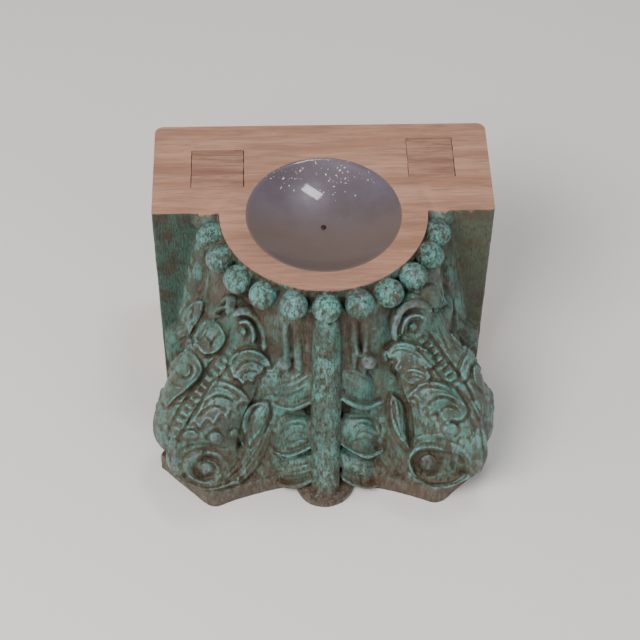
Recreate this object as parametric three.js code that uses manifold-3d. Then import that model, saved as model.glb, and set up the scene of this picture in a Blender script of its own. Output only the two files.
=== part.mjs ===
// Carved wooden capital block, standing on its abacus with the beaded neck on top.
// Millimetres, +Z up, the carved front faces -Y and the plain slab is at +Y.
// The carving is laid out about the axis of the round neck, and the whole is centred at the end.
import * as THREE from 'three';
import { mergeVertices } from 'three/addons/utils/BufferGeometryUtils.js';
import Module from 'manifold-3d';

const wasm = await Module();
wasm.setup();

// Driving dimensions
const WIDTH = 300;
const HEIGHT = 234;
const SLAB_DEPTH = 108;
const SLAB_BACK_ROUND = 8;
const NECK_RADIUS = 91;
const NECK_BAND = 11;
const NECK_GROOVE = 3.5;
const BELL_SWELL = 17;
const BEAD_RADIUS = 12.5;
const BEAD_SINK = 3;
const BEAD_COUNT = 11;
const BEAD_ARC = THREE.MathUtils.degToRad(162);
const ABACUS_THICKNESS = 20;
const ABACUS_REACH = 152;
const ABACUS_HOLLOW = 32;
const CORNER_CUT = 48;
const FOOT_RADIUS = 27;
const FOOT_THICKNESS = 12;
const STEM_RADIUS = 12.7;
const KNOB_RADIUS = 6.8;
const EYE_RADIUS = 8.5;
const CORNER_HALF = 23;
const CORNER_BEVEL = 12;
const FLARE_DEPTH = 26;
const LEAF_REACH = 200;
const DISH_RADIUS = 67;
const DISH_DEPTH = 19;
const DISH_WALL = 1.2;
const DISH_FORWARD = 2;
const NAIL_RADIUS = 1.1;
const NAIL_HEAD_RADIUS = 2.4;
const NAIL_HEAD_HEIGHT = 1.6;
const NAIL_LENGTH = 24;
const PLUG_DEPTH = 22;
const FIT_GAP = 0.3;
const LEFT_PLUG = { width: 46, depth: 45, x: -93, y: 54 };
const RIGHT_PLUG = { width: 41, depth: 48, x: 97.5, y: 65 };

// How far forms run into the slab behind them, so that they join it
const ROOT = 10;
// Room past the surfaces for a form that only cuts
const CLEAR = 30;
// Points of a joined surface this near each other are one point
const WELD = 0.02;

// Dependent sizes
const HALF_WIDTH = WIDTH / 2;
const LEAF_RISE = HEIGHT - 2 * BEAD_RADIUS - BEAD_SINK;
const BELL_FOOT_RADIUS = ABACUS_REACH - ABACUS_HOLLOW;
const BEAD_CIRCLE = NECK_RADIUS - NECK_GROOVE + BEAD_RADIUS;

const wood = new THREE.MeshStandardMaterial({ color: 0x4e7c70, roughness: 0.7, metalness: 0 });
const plugWood = new THREE.MeshStandardMaterial({ color: 0x9a7260, roughness: 0.8, metalness: 0 });
const glaze = new THREE.MeshStandardMaterial({ color: 0x564a50, roughness: 0.2, metalness: 0.4 });
const iron = new THREE.MeshStandardMaterial({ color: 0x2c2724, roughness: 0.5, metalness: 0.8 });

// A solid from a closed geometry. Points nearer than `weld` become one, and the triangles that
// fold up with them are dropped.
function solid(geometry, weld = 1e-4) {
  const bare = geometry.index ? geometry.toNonIndexed() : geometry.clone();
  bare.deleteAttribute('normal');
  bare.deleteAttribute('uv');
  const merged = mergeVertices(bare, weld);
  const index = merged.index.array;
  const kept = [];
  for (let i = 0; i < index.length; i += 3) {
    const [a, b, c] = [index[i], index[i + 1], index[i + 2]];
    if (a !== b && b !== c && c !== a) kept.push(a, b, c);
  }
  const vertProperties = new Float32Array(merged.attributes.position.array);
  return new wasm.Manifold(new wasm.Mesh({ numProp: 3, vertProperties, triVerts: new Uint32Array(kept) }));
}

// The triangles of the largest shell. A pocket sealed between joined forms is wood, so it is left out.
function outerShell(mesh) {
  const { triVerts, mergeFromVert, mergeToVert } = mesh;
  const parent = Array.from({ length: mesh.vertProperties.length / 3 }, (_, i) => i);
  const root = (i) => {
    let at = i;
    while (parent[at] !== at) at = parent[at];
    parent[i] = at;
    return at;
  };
  const link = (a, b) => {
    parent[root(a)] = root(b);
  };
  mergeFromVert?.forEach((vertex, i) => link(vertex, mergeToVert[i]));
  for (let i = 0; i < triVerts.length; i += 3) {
    link(triVerts[i + 1], triVerts[i]);
    link(triVerts[i + 2], triVerts[i]);
  }
  const sizes = new Map();
  for (const vertex of triVerts) sizes.set(root(vertex), (sizes.get(root(vertex)) ?? 0) + 1);
  const largest = [...sizes.entries()].sort((a, b) => b[1] - a[1])[0][0];
  const kept = [];
  for (let i = 0; i < triVerts.length; i += 3) {
    if (root(triVerts[i]) === largest) kept.push(triVerts[i], triVerts[i + 1], triVerts[i + 2]);
  }
  return kept;
}

function geometryOf(mesh, triangles) {
  const geometry = new THREE.BufferGeometry();
  geometry.setAttribute('position', new THREE.BufferAttribute(new Float32Array(mesh.vertProperties), 3));
  geometry.setIndex(triangles);
  return geometry;
}

// The outside of a joined solid as one clean surface
function surfaceOf(body) {
  const joined = body.getMesh();
  const welded = solid(geometryOf(joined, Array.from(joined.triVerts)), WELD).getMesh();
  return geometryOf(welded, outerShell(welded));
}

function join(bodies) {
  return bodies.reduce((whole, body) => whole.add(body));
}

function box(width, depth, height, x, y, base) {
  return solid(new THREE.BoxGeometry(width, depth, height).translate(x, y, base + height / 2));
}

// Values spread evenly along a form, read off smoothly between them
function spread(values, t) {
  const place = t * (values.length - 1);
  const i = Math.min(Math.floor(place), values.length - 2);
  const ease = THREE.MathUtils.smoothstep(place - i, 0, 1);
  return THREE.MathUtils.lerp(values[i], values[i + 1], (ease + place - i) / 2);
}

// A closed form swept along a curve. A sphere's rows become steps along the curve and its columns
// go around it, so both ends close. `face` is the side that looks outward, a low `blunt` makes the
// ends squarer, and `deep` is how much further the form runs back into the wood than out of it.
function swept({ path, width, thick, face, around = 8, along = 8, blunt = 0.5, deep = 1 }) {
  const curve = new THREE.CatmullRomCurve3(path);
  const sphere = new THREE.SphereGeometry(1, around, along);
  const position = sphere.attributes.position;
  const step = new THREE.Vector3();
  for (let i = 0; i < position.count; i += 1) {
    const pole = THREE.MathUtils.clamp(position.getY(i), -1, 1);
    const t = (1 - pole) / 2;
    const turn = Math.atan2(position.getZ(i), position.getX(i));
    const tangent = curve.getTangent(t);
    const outward = face.clone().addScaledVector(tangent, -face.dot(tangent)).normalize();
    const across = new THREE.Vector3().crossVectors(outward, tangent);
    const swell = t < 0.001 || t > 0.999 ? 0 : Math.sqrt(1 - pole * pole) ** blunt;
    const side = Math.cos(turn) * spread(width, t) * swell;
    const lift = Math.sin(turn) * spread(thick, t) * swell * (Math.sin(turn) < 0 ? deep : 1);
    step.copy(curve.getPoint(t)).addScaledVector(across, side).addScaledVector(outward, lift);
    position.setXYZ(i, step.x, step.y, step.z);
  }
  return solid(sphere);
}

function ball(centre, radius, around = 8, rows = 6) {
  const sphere = new THREE.SphereGeometry(radius, around, rows).rotateX(Math.PI / 2);
  return solid(sphere.translate(...centre.toArray()));
}

// Plan frames. Each gives points as (out from the axis, across, up) in percent of the carving's
// reach and rise.
function planFrame(outward, across) {
  const reach = LEAF_REACH / 100;
  const rise = LEAF_RISE / 100;
  const at = (out, side, up) => new THREE.Vector3()
    .addScaledVector(outward, out * reach)
    .addScaledVector(across, side * reach)
    .setZ(up * rise);
  const line = (points) => points.map((point) => at(...point));
  return { at, line };
}

// Half widths and thicknesses of the carved forms, in halves of a percent of the carving's reach
function girth(values) {
  return values.map((value) => (value * LEAF_REACH) / 200);
}

const UP = new THREE.Vector3(0, 0, 1);
const FRONT = new THREE.Vector3(0, -1, 0);
const RIGHT = new THREE.Vector3(1, 0, 0);

// The slab at the back, with rounded back corners
function slab() {
  const plan = new THREE.Shape();
  plan.moveTo(-HALF_WIDTH, 0);
  plan.lineTo(HALF_WIDTH, 0);
  const turnX = HALF_WIDTH - SLAB_BACK_ROUND;
  const turnY = SLAB_DEPTH - SLAB_BACK_ROUND;
  plan.lineTo(HALF_WIDTH, turnY);
  plan.absarc(turnX, turnY, SLAB_BACK_ROUND, 0, Math.PI / 2);
  plan.lineTo(-turnX, SLAB_DEPTH);
  plan.absarc(-turnX, turnY, SLAB_BACK_ROUND, Math.PI / 2, Math.PI);
  return solid(new THREE.ExtrudeGeometry(plan, { depth: HEIGHT, bevelEnabled: false, curveSegments: 4 }));
}

// The neck and bell are one turned form, of which the front half stands out of the slab
function neckAndBell() {
  const grooveRadius = NECK_RADIUS - NECK_GROOVE;
  const underBeads = LEAF_RISE;
  const profile = [
    [0, 0],
    [BELL_FOOT_RADIUS, 0],
    [BELL_FOOT_RADIUS, ABACUS_THICKNESS],
    [NECK_RADIUS + BELL_SWELL, underBeads * 0.38],
    [NECK_RADIUS + BELL_SWELL * 0.4, underBeads * 0.68],
    [NECK_RADIUS, underBeads],
    [grooveRadius, underBeads + BEAD_SINK * 2],
    [grooveRadius, HEIGHT - NECK_BAND - BEAD_SINK],
    [NECK_RADIUS, HEIGHT - NECK_BAND],
    [NECK_RADIUS, HEIGHT],
    [0, HEIGHT],
  ].map(([radius, height]) => new THREE.Vector2(radius, height));
  const turned = solid(new THREE.LatheGeometry(profile, 28).rotateX(Math.PI / 2));
  return turned.intersect(box(WIDTH, ABACUS_REACH + ROOT, HEIGHT, 0, (ROOT - ABACUS_REACH) / 2, 0));
}

// The abacus: hollow sides between long cut corners, running back into the slab
function abacus() {
  const corner = ABACUS_REACH;
  const cut = ABACUS_REACH - CORNER_CUT;
  const waist = ABACUS_REACH - ABACUS_HOLLOW;
  const pull = ABACUS_REACH - 2 * ABACUS_HOLLOW;
  const plan = new THREE.Shape();
  plan.moveTo(-waist, ROOT);
  plan.lineTo(-waist, 0);
  plan.quadraticCurveTo(-waist, -cut / 2, -corner, -cut);
  plan.lineTo(-cut, -corner);
  plan.quadraticCurveTo(0, -pull, cut, -corner);
  plan.lineTo(corner, -cut);
  plan.quadraticCurveTo(waist, -cut / 2, waist, 0);
  plan.lineTo(waist, ROOT);
  return solid(new THREE.ExtrudeGeometry(plan, {
    depth: ABACUS_THICKNESS, bevelEnabled: false, curveSegments: 7,
  }));
}

// The beads around the neck, and the squashed half beads where the row runs into the slab
function beads() {
  const row = [];
  const height = HEIGHT - BEAD_RADIUS;
  for (let i = 0; i < BEAD_COUNT; i += 1) {
    const angle = (i / (BEAD_COUNT - 1) - 0.5) * BEAD_ARC;
    const centre = new THREE.Vector3(BEAD_CIRCLE * Math.sin(angle), -BEAD_CIRCLE * Math.cos(angle), height);
    row.push(ball(centre, BEAD_RADIUS, 8, 5));
  }
  for (const side of [-1, 1]) {
    const stub = new THREE.SphereGeometry(1, 8, 6).rotateX(Math.PI / 2)
      .scale(BEAD_RADIUS, BEAD_RADIUS * 0.7, BEAD_RADIUS * 0.75)
      .translate(side * (BEAD_CIRCLE + BEAD_SINK), 0, HEIGHT - BEAD_RADIUS * 0.75);
    row.push(solid(stub));
  }
  return row;
}

// One stem: a round rod with a leaf of three tiers on each side that has room for it.
// `sides` lists the sides that are carved, -1 and 1 along `across`.
function stem(outward, across, sides) {
  const { at, line } = planFrame(outward, across);
  const forms = [];
  const rod = [STEM_RADIUS, STEM_RADIUS, STEM_RADIUS * 1.06, STEM_RADIUS, STEM_RADIUS];
  forms.push(swept({
    path: line([[45, 0, 110], [53, 0, 84], [58.5, 0, 58], [63, 0, 34], [68, 0, -6]]),
    width: rod, thick: rod, face: outward, around: 8, along: 6, blunt: 0.3,
  }));
  for (const side of sides) {
    const leaf = (points) => line(points.map(([out, over, up]) => [out, over * side, up]));
    forms.push(swept({
      path: leaf([[45, 9.5, 112], [51, 10.5, 90], [55, 11, 68]]),
      width: girth([7, 7, 8]), thick: girth([6, 6, 7]), face: outward,
      around: 4, along: 3, blunt: 0.3, deep: 2,
    }));
    forms.push(ball(at(53, 18.2 * side, 77), KNOB_RADIUS, 7, 5));
    const tiers = [
      { top: 77, hem: 53, out: 56.5, over: 15.5 },
      { top: 52, hem: 25, out: 62.5, over: 16 },
      { top: 27, hem: 9, out: 65.5, over: 15.5 },
    ];
    for (const { top, hem, out, over } of tiers) {
      forms.push(swept({
        path: leaf([[out - 8, over - 0.5, top], [out - 5, over + 0.5, (top + hem) / 2 + 4],
          [out - 4, over, hem]]),
        width: girth([14, 18, 15]), thick: girth([13, 16, 13]), face: outward,
        around: 6, along: 5, blunt: 0.6,
      }));
      forms.push(swept({
        path: leaf([[out - 1, 5, hem + 2], [out + 1, 11, hem], [out + 1, 18, hem], [out - 2, 26, hem + 4]]),
        width: girth([5, 6, 6, 3]), thick: girth([9, 11, 9, 5]), face: outward,
        around: 5, along: 5, blunt: 0.35, deep: 1.6,
      }));
    }
  }
  return forms;
}

// The foot under the front stem
function foot() {
  const radius = FOOT_RADIUS;
  const disc = new THREE.CylinderGeometry(radius * 0.93, radius, FOOT_THICKNESS, 24).rotateX(Math.PI / 2);
  return solid(disc.translate(0, radius - ABACUS_REACH, FOOT_THICKNESS / 2));
}

// The flare that runs from the neck out to the slab's edge behind each side stem
function sideFlare(side) {
  const edge = side * (HALF_WIDTH - BEAD_SINK);
  const profile = new THREE.Shape();
  profile.moveTo(0, 0);
  profile.lineTo(side * (ABACUS_REACH - ABACUS_HOLLOW), 0);
  profile.quadraticCurveTo(edge, LEAF_RISE * 0.1, edge, LEAF_RISE * 0.36);
  profile.quadraticCurveTo(
    side * (NECK_RADIUS + BELL_SWELL), LEAF_RISE * 0.56, side * NECK_RADIUS, LEAF_RISE,
  );
  profile.lineTo(0, LEAF_RISE);
  const plate = new THREE.ExtrudeGeometry(profile, {
    depth: FLARE_DEPTH, bevelEnabled: false, curveSegments: 6,
  });
  return solid(plate.rotateX(Math.PI / 2).translate(0, ROOT, 0));
}

// The solid corner under each leaf: an upright plate through the axis that runs out over the cut
// corner of the abacus, its edge bevelled to the narrow nose that the leaf's rib follows
function cornerBody(side) {
  const outward = new THREE.Vector3(side, -1, 0).normalize();
  const outline = [[30, 4], [76, 4], [84, 10], [88, 22], [86, 35], [78, 46], [66, 54], [55, 61],
    [46, 70], [30, 74]];
  const points = outline.map(
    ([out, up]) => new THREE.Vector2((out * LEAF_REACH) / 100, (up * LEAF_RISE) / 100),
  );
  const flat = 2 * (CORNER_HALF - CORNER_BEVEL);
  const plate = new THREE.ExtrudeGeometry(new THREE.Shape(points), {
    depth: flat, bevelThickness: CORNER_BEVEL, bevelSize: CORNER_BEVEL * 0.7, bevelSegments: 2,
  });
  const basis = new THREE.Matrix4().makeBasis(outward, UP, new THREE.Vector3().crossVectors(outward, UP));
  const { line } = planFrame(outward, new THREE.Vector3());
  const rib = swept({
    path: line([[56, 0, 84], [64, 0, 75], [72, 0, 65], [80, 0, 57], [89, 0, 49], [95, 0, 38], [98, 0, 22],
      [93, 0, 8]]),
    width: girth([4, 5, 6, 6, 6, 5]), thick: girth([9, 12, 14, 14, 12, 9]), face: outward,
    around: 5, along: 9,
  });
  return solid(plate.translate(0, 0, -flat / 2).applyMatrix4(basis)).add(rib);
}

// One half of a corner leaf. `turn` is 1 for the half that looks to the front, -1 for the side.
function cornerLeaf(side, turn) {
  const outward = new THREE.Vector3(side, -1, 0).normalize();
  const across = new THREE.Vector3(-side, -1, 0).normalize().multiplyScalar(turn);
  const { at, line } = planFrame(outward, across);
  const lookUp = across.clone().addScaledVector(UP, 0.9);
  const lookOut = across.clone().addScaledVector(UP, 0.4).addScaledVector(outward, 0.4);
  const forms = [];
  // Volute: the stalk rises from the bell, passes under and winds round the eye, and the face
  // falls back toward the nose of the corner
  const eye = { out: 86, over: 16.5, up: 26 };
  const winding = [];
  for (let i = 0; i <= 12; i += 1) {
    const angle = Math.PI * (-0.62 + (i / 12) * 1.95);
    const shrink = 1 - 0.5 * (i / 12);
    const aside = Math.max(0, Math.cos(angle - 0.4)) * shrink;
    winding.push([
      eye.out + 13 * shrink * Math.cos(angle),
      eye.over - 2 - 9 * aside,
      eye.up + 20 * shrink * Math.sin(angle),
    ]);
  }
  forms.push(swept({
    path: line([[46, 18, 44], [50, 17.5, 26], [59, 16.5, 12], ...winding]),
    width: girth([9, 10, 8, 6.5, 6.5, 6, 5]), thick: girth([9, 11, 12, 12, 12, 11, 9]),
    face: across, around: 5, along: 14, blunt: 0.5, deep: 1.6,
  }));
  forms.push(ball(at(eye.out, eye.over - 1.5, eye.up), EYE_RADIUS, 7, 5));
  // Leaf lobes, from the curl under the beads down to the broad one over the volute
  forms.push(swept({
    path: line([[59, 1, 88], [57.5, 3, 93], [54, 7, 94], [52, 10.5, 90], [51.5, 12.5, 83], [53, 13.5, 75]]),
    width: girth([3, 4, 4, 4, 3]), thick: girth([7, 8, 8, 7, 6]), face: lookOut,
    around: 5, along: 7, blunt: 0.5,
  }));
  forms.push(swept({
    path: line([[58, 1.5, 76], [55, 5, 82], [52.5, 7, 85]]),
    width: girth([6, 8.5, 6]), thick: girth([6, 8, 6]), face: lookOut, around: 6, along: 4, deep: 1.8,
  }));
  forms.push(swept({
    path: line([[69, 1, 66], [63, 6, 69], [58, 12, 70], [53.5, 18, 69]]),
    width: girth([8, 15, 15, 5]), thick: girth([6, 8, 7, 4]), face: lookUp, around: 6, along: 5, deep: 2.2,
  }));
  forms.push(swept({
    path: line([[86, 1, 51], [80, 6, 55], [73, 12, 56], [66, 18, 54]]),
    width: girth([10, 21, 20, 6]), thick: girth([7, 9, 8, 4]), face: lookUp, around: 6, along: 5, deep: 2.2,
  }));
  forms.push(ball(at(84, 14, 46), KNOB_RADIUS, 5, 4));
  forms.push(ball(at(90, 8, 44), KNOB_RADIUS, 5, 4));
  // The husk that the stalk grows from, with its pointed tip beside the volute
  forms.push(swept({
    path: line([[60, 19.5, 54], [63, 16.5, 44], [65, 15, 33], [70, 14, 18], [76, 14, 10]]),
    width: girth([3, 10, 14, 14, 8]), thick: girth([6, 10, 11, 11, 8]), face: across,
    around: 5, along: 6, deep: 1.8,
  }));
  return forms;
}

// Hollows cut for the dish, its nail and the plugs, each a little larger than what sits in it
function dishProfile(radius, depth) {
  const sphereRadius = (radius * radius + depth * depth) / (2 * depth);
  const points = [];
  for (let i = 0; i <= 4; i += 1) {
    const r = (radius * i) / 4;
    points.push(new THREE.Vector2(r, HEIGHT - depth + sphereRadius - Math.sqrt(sphereRadius ** 2 - r * r)));
  }
  return points;
}

function turnedAboutDish(profile) {
  const form = new THREE.LatheGeometry(profile, 26).rotateX(Math.PI / 2);
  return solid(form.translate(0, -DISH_FORWARD, 0));
}

function dishHollow() {
  const profile = dishProfile(DISH_RADIUS + DISH_WALL + FIT_GAP, DISH_DEPTH + DISH_WALL + FIT_GAP);
  profile.push(new THREE.Vector2(DISH_RADIUS + DISH_WALL + FIT_GAP, HEIGHT + CLEAR));
  profile.push(new THREE.Vector2(0, HEIGHT + CLEAR));
  return turnedAboutDish(profile);
}

function nailBody(clearance) {
  const floor = HEIGHT - DISH_DEPTH;
  const shank = new THREE.CylinderGeometry(NAIL_RADIUS + clearance, NAIL_RADIUS + clearance, NAIL_LENGTH, 10);
  return solid(shank.rotateX(Math.PI / 2).translate(0, -DISH_FORWARD, floor - NAIL_LENGTH / 2 + FIT_GAP + 1));
}

function candleDish() {
  const outer = dishProfile(DISH_RADIUS + DISH_WALL, DISH_DEPTH + DISH_WALL);
  const inner = dishProfile(DISH_RADIUS, DISH_DEPTH).reverse();
  return turnedAboutDish([...outer, ...inner]).subtract(nailBody(FIT_GAP));
}

function dishNail() {
  const head = new THREE.CylinderGeometry(NAIL_HEAD_RADIUS * 0.6, NAIL_HEAD_RADIUS, NAIL_HEAD_HEIGHT, 10);
  const seat = HEIGHT - DISH_DEPTH + FIT_GAP + NAIL_HEAD_HEIGHT / 2;
  head.rotateX(Math.PI / 2).translate(0, -DISH_FORWARD, seat);
  return nailBody(0).add(solid(head));
}

function plug(size, clearance) {
  const depth = PLUG_DEPTH + clearance;
  const top = clearance > 0 ? CLEAR : 0;
  const width = size.width + 2 * clearance;
  return box(width, size.depth + 2 * clearance, depth + top, size.x, size.y, HEIGHT - depth);
}

function capitalBlock() {
  const forms = [slab(), neckAndBell(), abacus(), ...beads(), foot()];
  forms.push(...stem(FRONT, RIGHT, [-1, 1]));
  for (const side of [-1, 1]) {
    forms.push(...stem(RIGHT.clone().multiplyScalar(side), FRONT, [1]));
    forms.push(sideFlare(side));
    forms.push(cornerBody(side));
    forms.push(...cornerLeaf(side, 1), ...cornerLeaf(side, -1));
  }
  const front = -ABACUS_REACH - CLEAR;
  const depth = SLAB_DEPTH - front;
  const envelope = box(WIDTH + 2 * CLEAR, depth, HEIGHT, 0, front + depth / 2, 0);
  return join(forms)
    .intersect(envelope)
    .subtract(dishHollow())
    .subtract(nailBody(FIT_GAP))
    .subtract(plug(LEFT_PLUG, FIT_GAP))
    .subtract(plug(RIGHT_PLUG, FIT_GAP));
}

const pieces = [
  ['capital_block', capitalBlock(), wood],
  ['candle_dish', candleDish(), glaze],
  ['dish_nail', dishNail(), iron],
  ['left_mortise_plug', plug(LEFT_PLUG, 0), plugWood],
  ['right_mortise_plug', plug(RIGHT_PLUG, 0), plugWood],
];

const group = new THREE.Group();
for (const [name, body, material] of pieces) {
  const mesh = new THREE.Mesh(surfaceOf(body), material);
  mesh.name = name;
  group.add(mesh);
}

// The origin is under the middle of the box that the whole block fills
const extent = new THREE.Box3().setFromObject(group);
group.position.set(0, -(extent.min.y + extent.max.y) / 2, 0);
group.updateMatrixWorld(true);

export default group;
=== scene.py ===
import math

import bpy
import numpy as np
from mathutils import Matrix, Vector, kdtree


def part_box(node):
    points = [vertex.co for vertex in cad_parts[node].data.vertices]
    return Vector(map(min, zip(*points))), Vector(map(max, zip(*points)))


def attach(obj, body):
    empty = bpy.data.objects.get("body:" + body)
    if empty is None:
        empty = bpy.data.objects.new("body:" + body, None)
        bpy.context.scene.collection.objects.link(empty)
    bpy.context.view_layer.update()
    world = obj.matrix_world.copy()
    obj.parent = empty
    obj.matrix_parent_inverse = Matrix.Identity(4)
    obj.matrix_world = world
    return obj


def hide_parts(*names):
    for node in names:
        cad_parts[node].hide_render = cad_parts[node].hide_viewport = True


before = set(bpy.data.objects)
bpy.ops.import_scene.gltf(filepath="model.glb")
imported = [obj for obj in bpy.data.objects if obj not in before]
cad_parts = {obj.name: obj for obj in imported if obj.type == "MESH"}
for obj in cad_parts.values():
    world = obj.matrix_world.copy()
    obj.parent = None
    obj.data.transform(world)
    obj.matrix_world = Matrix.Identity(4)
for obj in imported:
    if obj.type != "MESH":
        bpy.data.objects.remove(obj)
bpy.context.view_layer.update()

# Sizes in millimetres, the same as in the solids
WIDTH = 300.0
HEIGHT = 234.0
SLAB_DEPTH = 108.0
SLAB_ROUND = 8.0
NECK_RADIUS = 91.0
NECK_BAND = 11.0
NECK_GROOVE = 3.5
BELL_SWELL = 17.0
BEAD_RADIUS = 12.5
BEAD_SINK = 3.0
BEAD_COUNT = 11
BEAD_ARC = math.radians(162)
ABACUS_THICKNESS = 20.0
ABACUS_REACH = 152.0
ABACUS_HOLLOW = 32.0
CORNER_CUT = 48.0
FOOT_RADIUS = 27.0
FOOT_THICKNESS = 12.0
STEM_RADIUS = 12.7
KNOB_RADIUS = 6.8
FLARE_DEPTH = 26.0
DISH_RADIUS = 67.0
DISH_DEPTH = 19.0
DISH_WALL = 1.2
DISH_FORWARD = 2.0
NAIL_RADIUS = 1.1
PLUG_DEPTH = 22.0
LEFT_PLUG = {"width": 46.0, "depth": 45.0, "x": -93.0, "y": 54.0}
RIGHT_PLUG = {"width": 41.0, "depth": 48.0, "x": 97.5, "y": 65.0}

HALF_WIDTH = WIDTH / 2
LEAF_RISE = HEIGHT - 2 * BEAD_RADIUS - BEAD_SINK
BEAD_CIRCLE = NECK_RADIUS - NECK_GROOVE + BEAD_RADIUS
MM = 0.001
VOXEL = 1.05
# Fineness of the swept forms: rows at least, rows for each step, points in a ring at least and at most
FEWEST_ROWS = 10
ROWS_PER_STEP = 1.3
RING_POINTS = (12, 90)
CARVED_FACES = 192000
# The carving is laid out about the axis of the neck, which stands in the slab's front face. This is
# its place in the frame
AXIS_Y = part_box("capital_block")[1].y / MM - SLAB_DEPTH
# How far forms reach past the sawn faces and into the slab, and cutters past the top
OVER_TOP = 3.0
INTO_SLAB = 10.0
CUTTER_RISE = 30.0
# Added to the radius of the bell
BELL_FILL = 6.0
# Rounded corners of the abacus: along the cut, along the front edge, and how far that has gone back there
ROUND_CUT = 7.0
ROUND_EDGE = 9.0
ROUND_BACK = 4.0
# The flare beside the bell is made in steps that go forward and grow narrower
FLARE_STEPS = 6
FLARE_STEP = 1.6
FLARE_NARROWS = np.array([0.006, 0.003])
# Gaps round and under the dish and the plugs, and how far the plugs stand below the top
DISH_GAP = 0.25
LEFT_GAP = 0.55
RIGHT_GAP = 0.45
SEAT_GAP = 0.3
LEFT_SINK = 0.3
RIGHT_SINK = 0.15
PLUG_BEVEL = 0.5
# Edges sharper than this many degrees are shaded as edges
SHARP_CARVING = 48
SHARP_DISH = 40
SHARP_PLUG = 35
# The nail's heights from the floor of the dish, and the radii of its head
NAIL_HEIGHTS = (-22, -8, 1.4)
NAIL_HEAD_HEIGHT = 1.1
NAIL_HEAD = (2.2, 2.4, 0.8)
# The mirrored relief of the sides and the cut lines are scaled by these
SIDE_RELIEF = 0.6
LINE_DEPTH = 1.25
# A raised lobe's crown and the groove round it. A tooth's height, how far the rib sinks between teeth,
# and where in its length a tooth is highest
LOBE_CROWN = 1.6
LOBE_GROOVE = 1.8
TOOTH_HEIGHT = 5.2
TOOTH_SINK = 1.6
TOOTH_PEAK = 0.65
# Where the tiers' own paint is: half its width, its top, its foot, and how far forward it starts
TIER_HALF_WIDTH = 46
TIER_TOP = 150
TIER_FOOT = 14
TIER_FRONT = 98
# How far in front of the neck's axis the rod's paint starts, and the bell's paint past the bell
ROD_FRONT = 100
BELL_MARGIN = 7
# Uneven surface left by hand tools: amount, scale in millimetres, seed
HAND_WORK = ((0.32, 17, 1), (0.2, 6, 2), (0.12, 2.6, 3))
EDGE_WOBBLE = 0.25
EDGE_SCALE = 5.0
rng = np.random.default_rng(7)


# Closed forms

class Forms:
    """Closed triangle shells, gathered into one mesh."""

    def __init__(self):
        self.points = []
        self.faces = []
        self.count = 0

    def add(self, points, faces):
        self.points.append(points)
        self.faces.append(faces + self.count)
        self.count += len(points)

    def mesh(self, name):
        return mesh_from(name, np.concatenate(self.points), np.concatenate(self.faces))


def mesh_from(name, points, faces):
    data = bpy.data.meshes.new(name)
    data.vertices.add(len(points))
    moved = (np.asarray(points) + [0, AXIS_Y, 0]) * MM
    data.vertices.foreach_set("co", moved.astype(np.float32).ravel())
    data.loops.add(faces.size)
    data.loops.foreach_set("vertex_index", faces.astype(np.int32).ravel())
    data.polygons.add(len(faces))
    data.polygons.foreach_set("loop_start", np.arange(len(faces), dtype=np.int32) * 3)
    data.update(calc_edges=True)
    data.validate()
    piece = bpy.data.objects.new(name, data)
    bpy.context.scene.collection.objects.link(piece)
    return piece


def cubic(ends, i, f):
    """A smooth curve through numbered points, f of the way from one to the next."""
    a, b, c, d = ends[i], ends[i + 1], ends[i + 2], ends[i + 3]
    return 0.5 * (2 * b + (c - a) * f + (2 * a - 5 * b + 4 * c - d) * f**2
                  + (3 * b - a - 3 * c + d) * f**3)


def smooth_line(points, samples):
    """Points along a smooth curve through the given ones, spaced evenly."""
    p = np.asarray(points, float)
    if len(p) == 2:
        return p[0] + (p[1] - p[0]) * samples[:, None]
    ends = np.vstack([2 * p[0] - p[1], p, 2 * p[-1] - p[-2]])
    n = len(p) - 1
    s = np.linspace(0, n, 30 * n + 1)
    i = np.minimum(s.astype(int), n - 1)
    q = cubic(ends, i, (s - i)[:, None])
    length = np.r_[0, np.cumsum(np.linalg.norm(np.diff(q, axis=0), axis=1))]
    return np.stack([np.interp(samples * length[-1], length, q[:, k]) for k in range(3)], 1)


def spread(values, t):
    """Values spread evenly along a line, read at the places t from 0 to 1."""
    v = np.atleast_1d(np.asarray(values, float))
    if len(v) == 1:
        return np.full_like(t, v[0])
    x = t * (len(v) - 1)
    i = np.minimum(x.astype(int), len(v) - 2)
    f = x - i
    f = (f * f * (3 - 2 * f) + f) / 2
    return v[i] * (1 - f) + v[i + 1] * f


def unit(v):
    v = np.asarray(v, float)
    return v / np.maximum(np.linalg.norm(v, axis=-1, keepdims=True), 1e-9)


def path_length(points):
    return float(np.linalg.norm(np.diff(smooth_line(points, np.linspace(0, 1, 60)), axis=0), axis=1).sum())


def ring_faces(rows, count):
    """The faces of a closed form made of rings, each end closed by a last point."""
    ring = np.arange(rows * count).reshape(rows, count)
    nxt = np.roll(ring, -1, axis=1)
    poles = rows * count
    return np.concatenate([
        np.stack([ring[:-1], nxt[:-1], nxt[1:]], -1).reshape(-1, 3),
        np.stack([ring[:-1], nxt[1:], ring[1:]], -1).reshape(-1, 3),
        np.stack([np.full(count, poles), nxt[0], ring[0]], -1),
        np.stack([np.full(count, poles + 1), ring[-1], nxt[-1]], -1),
    ])


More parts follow.
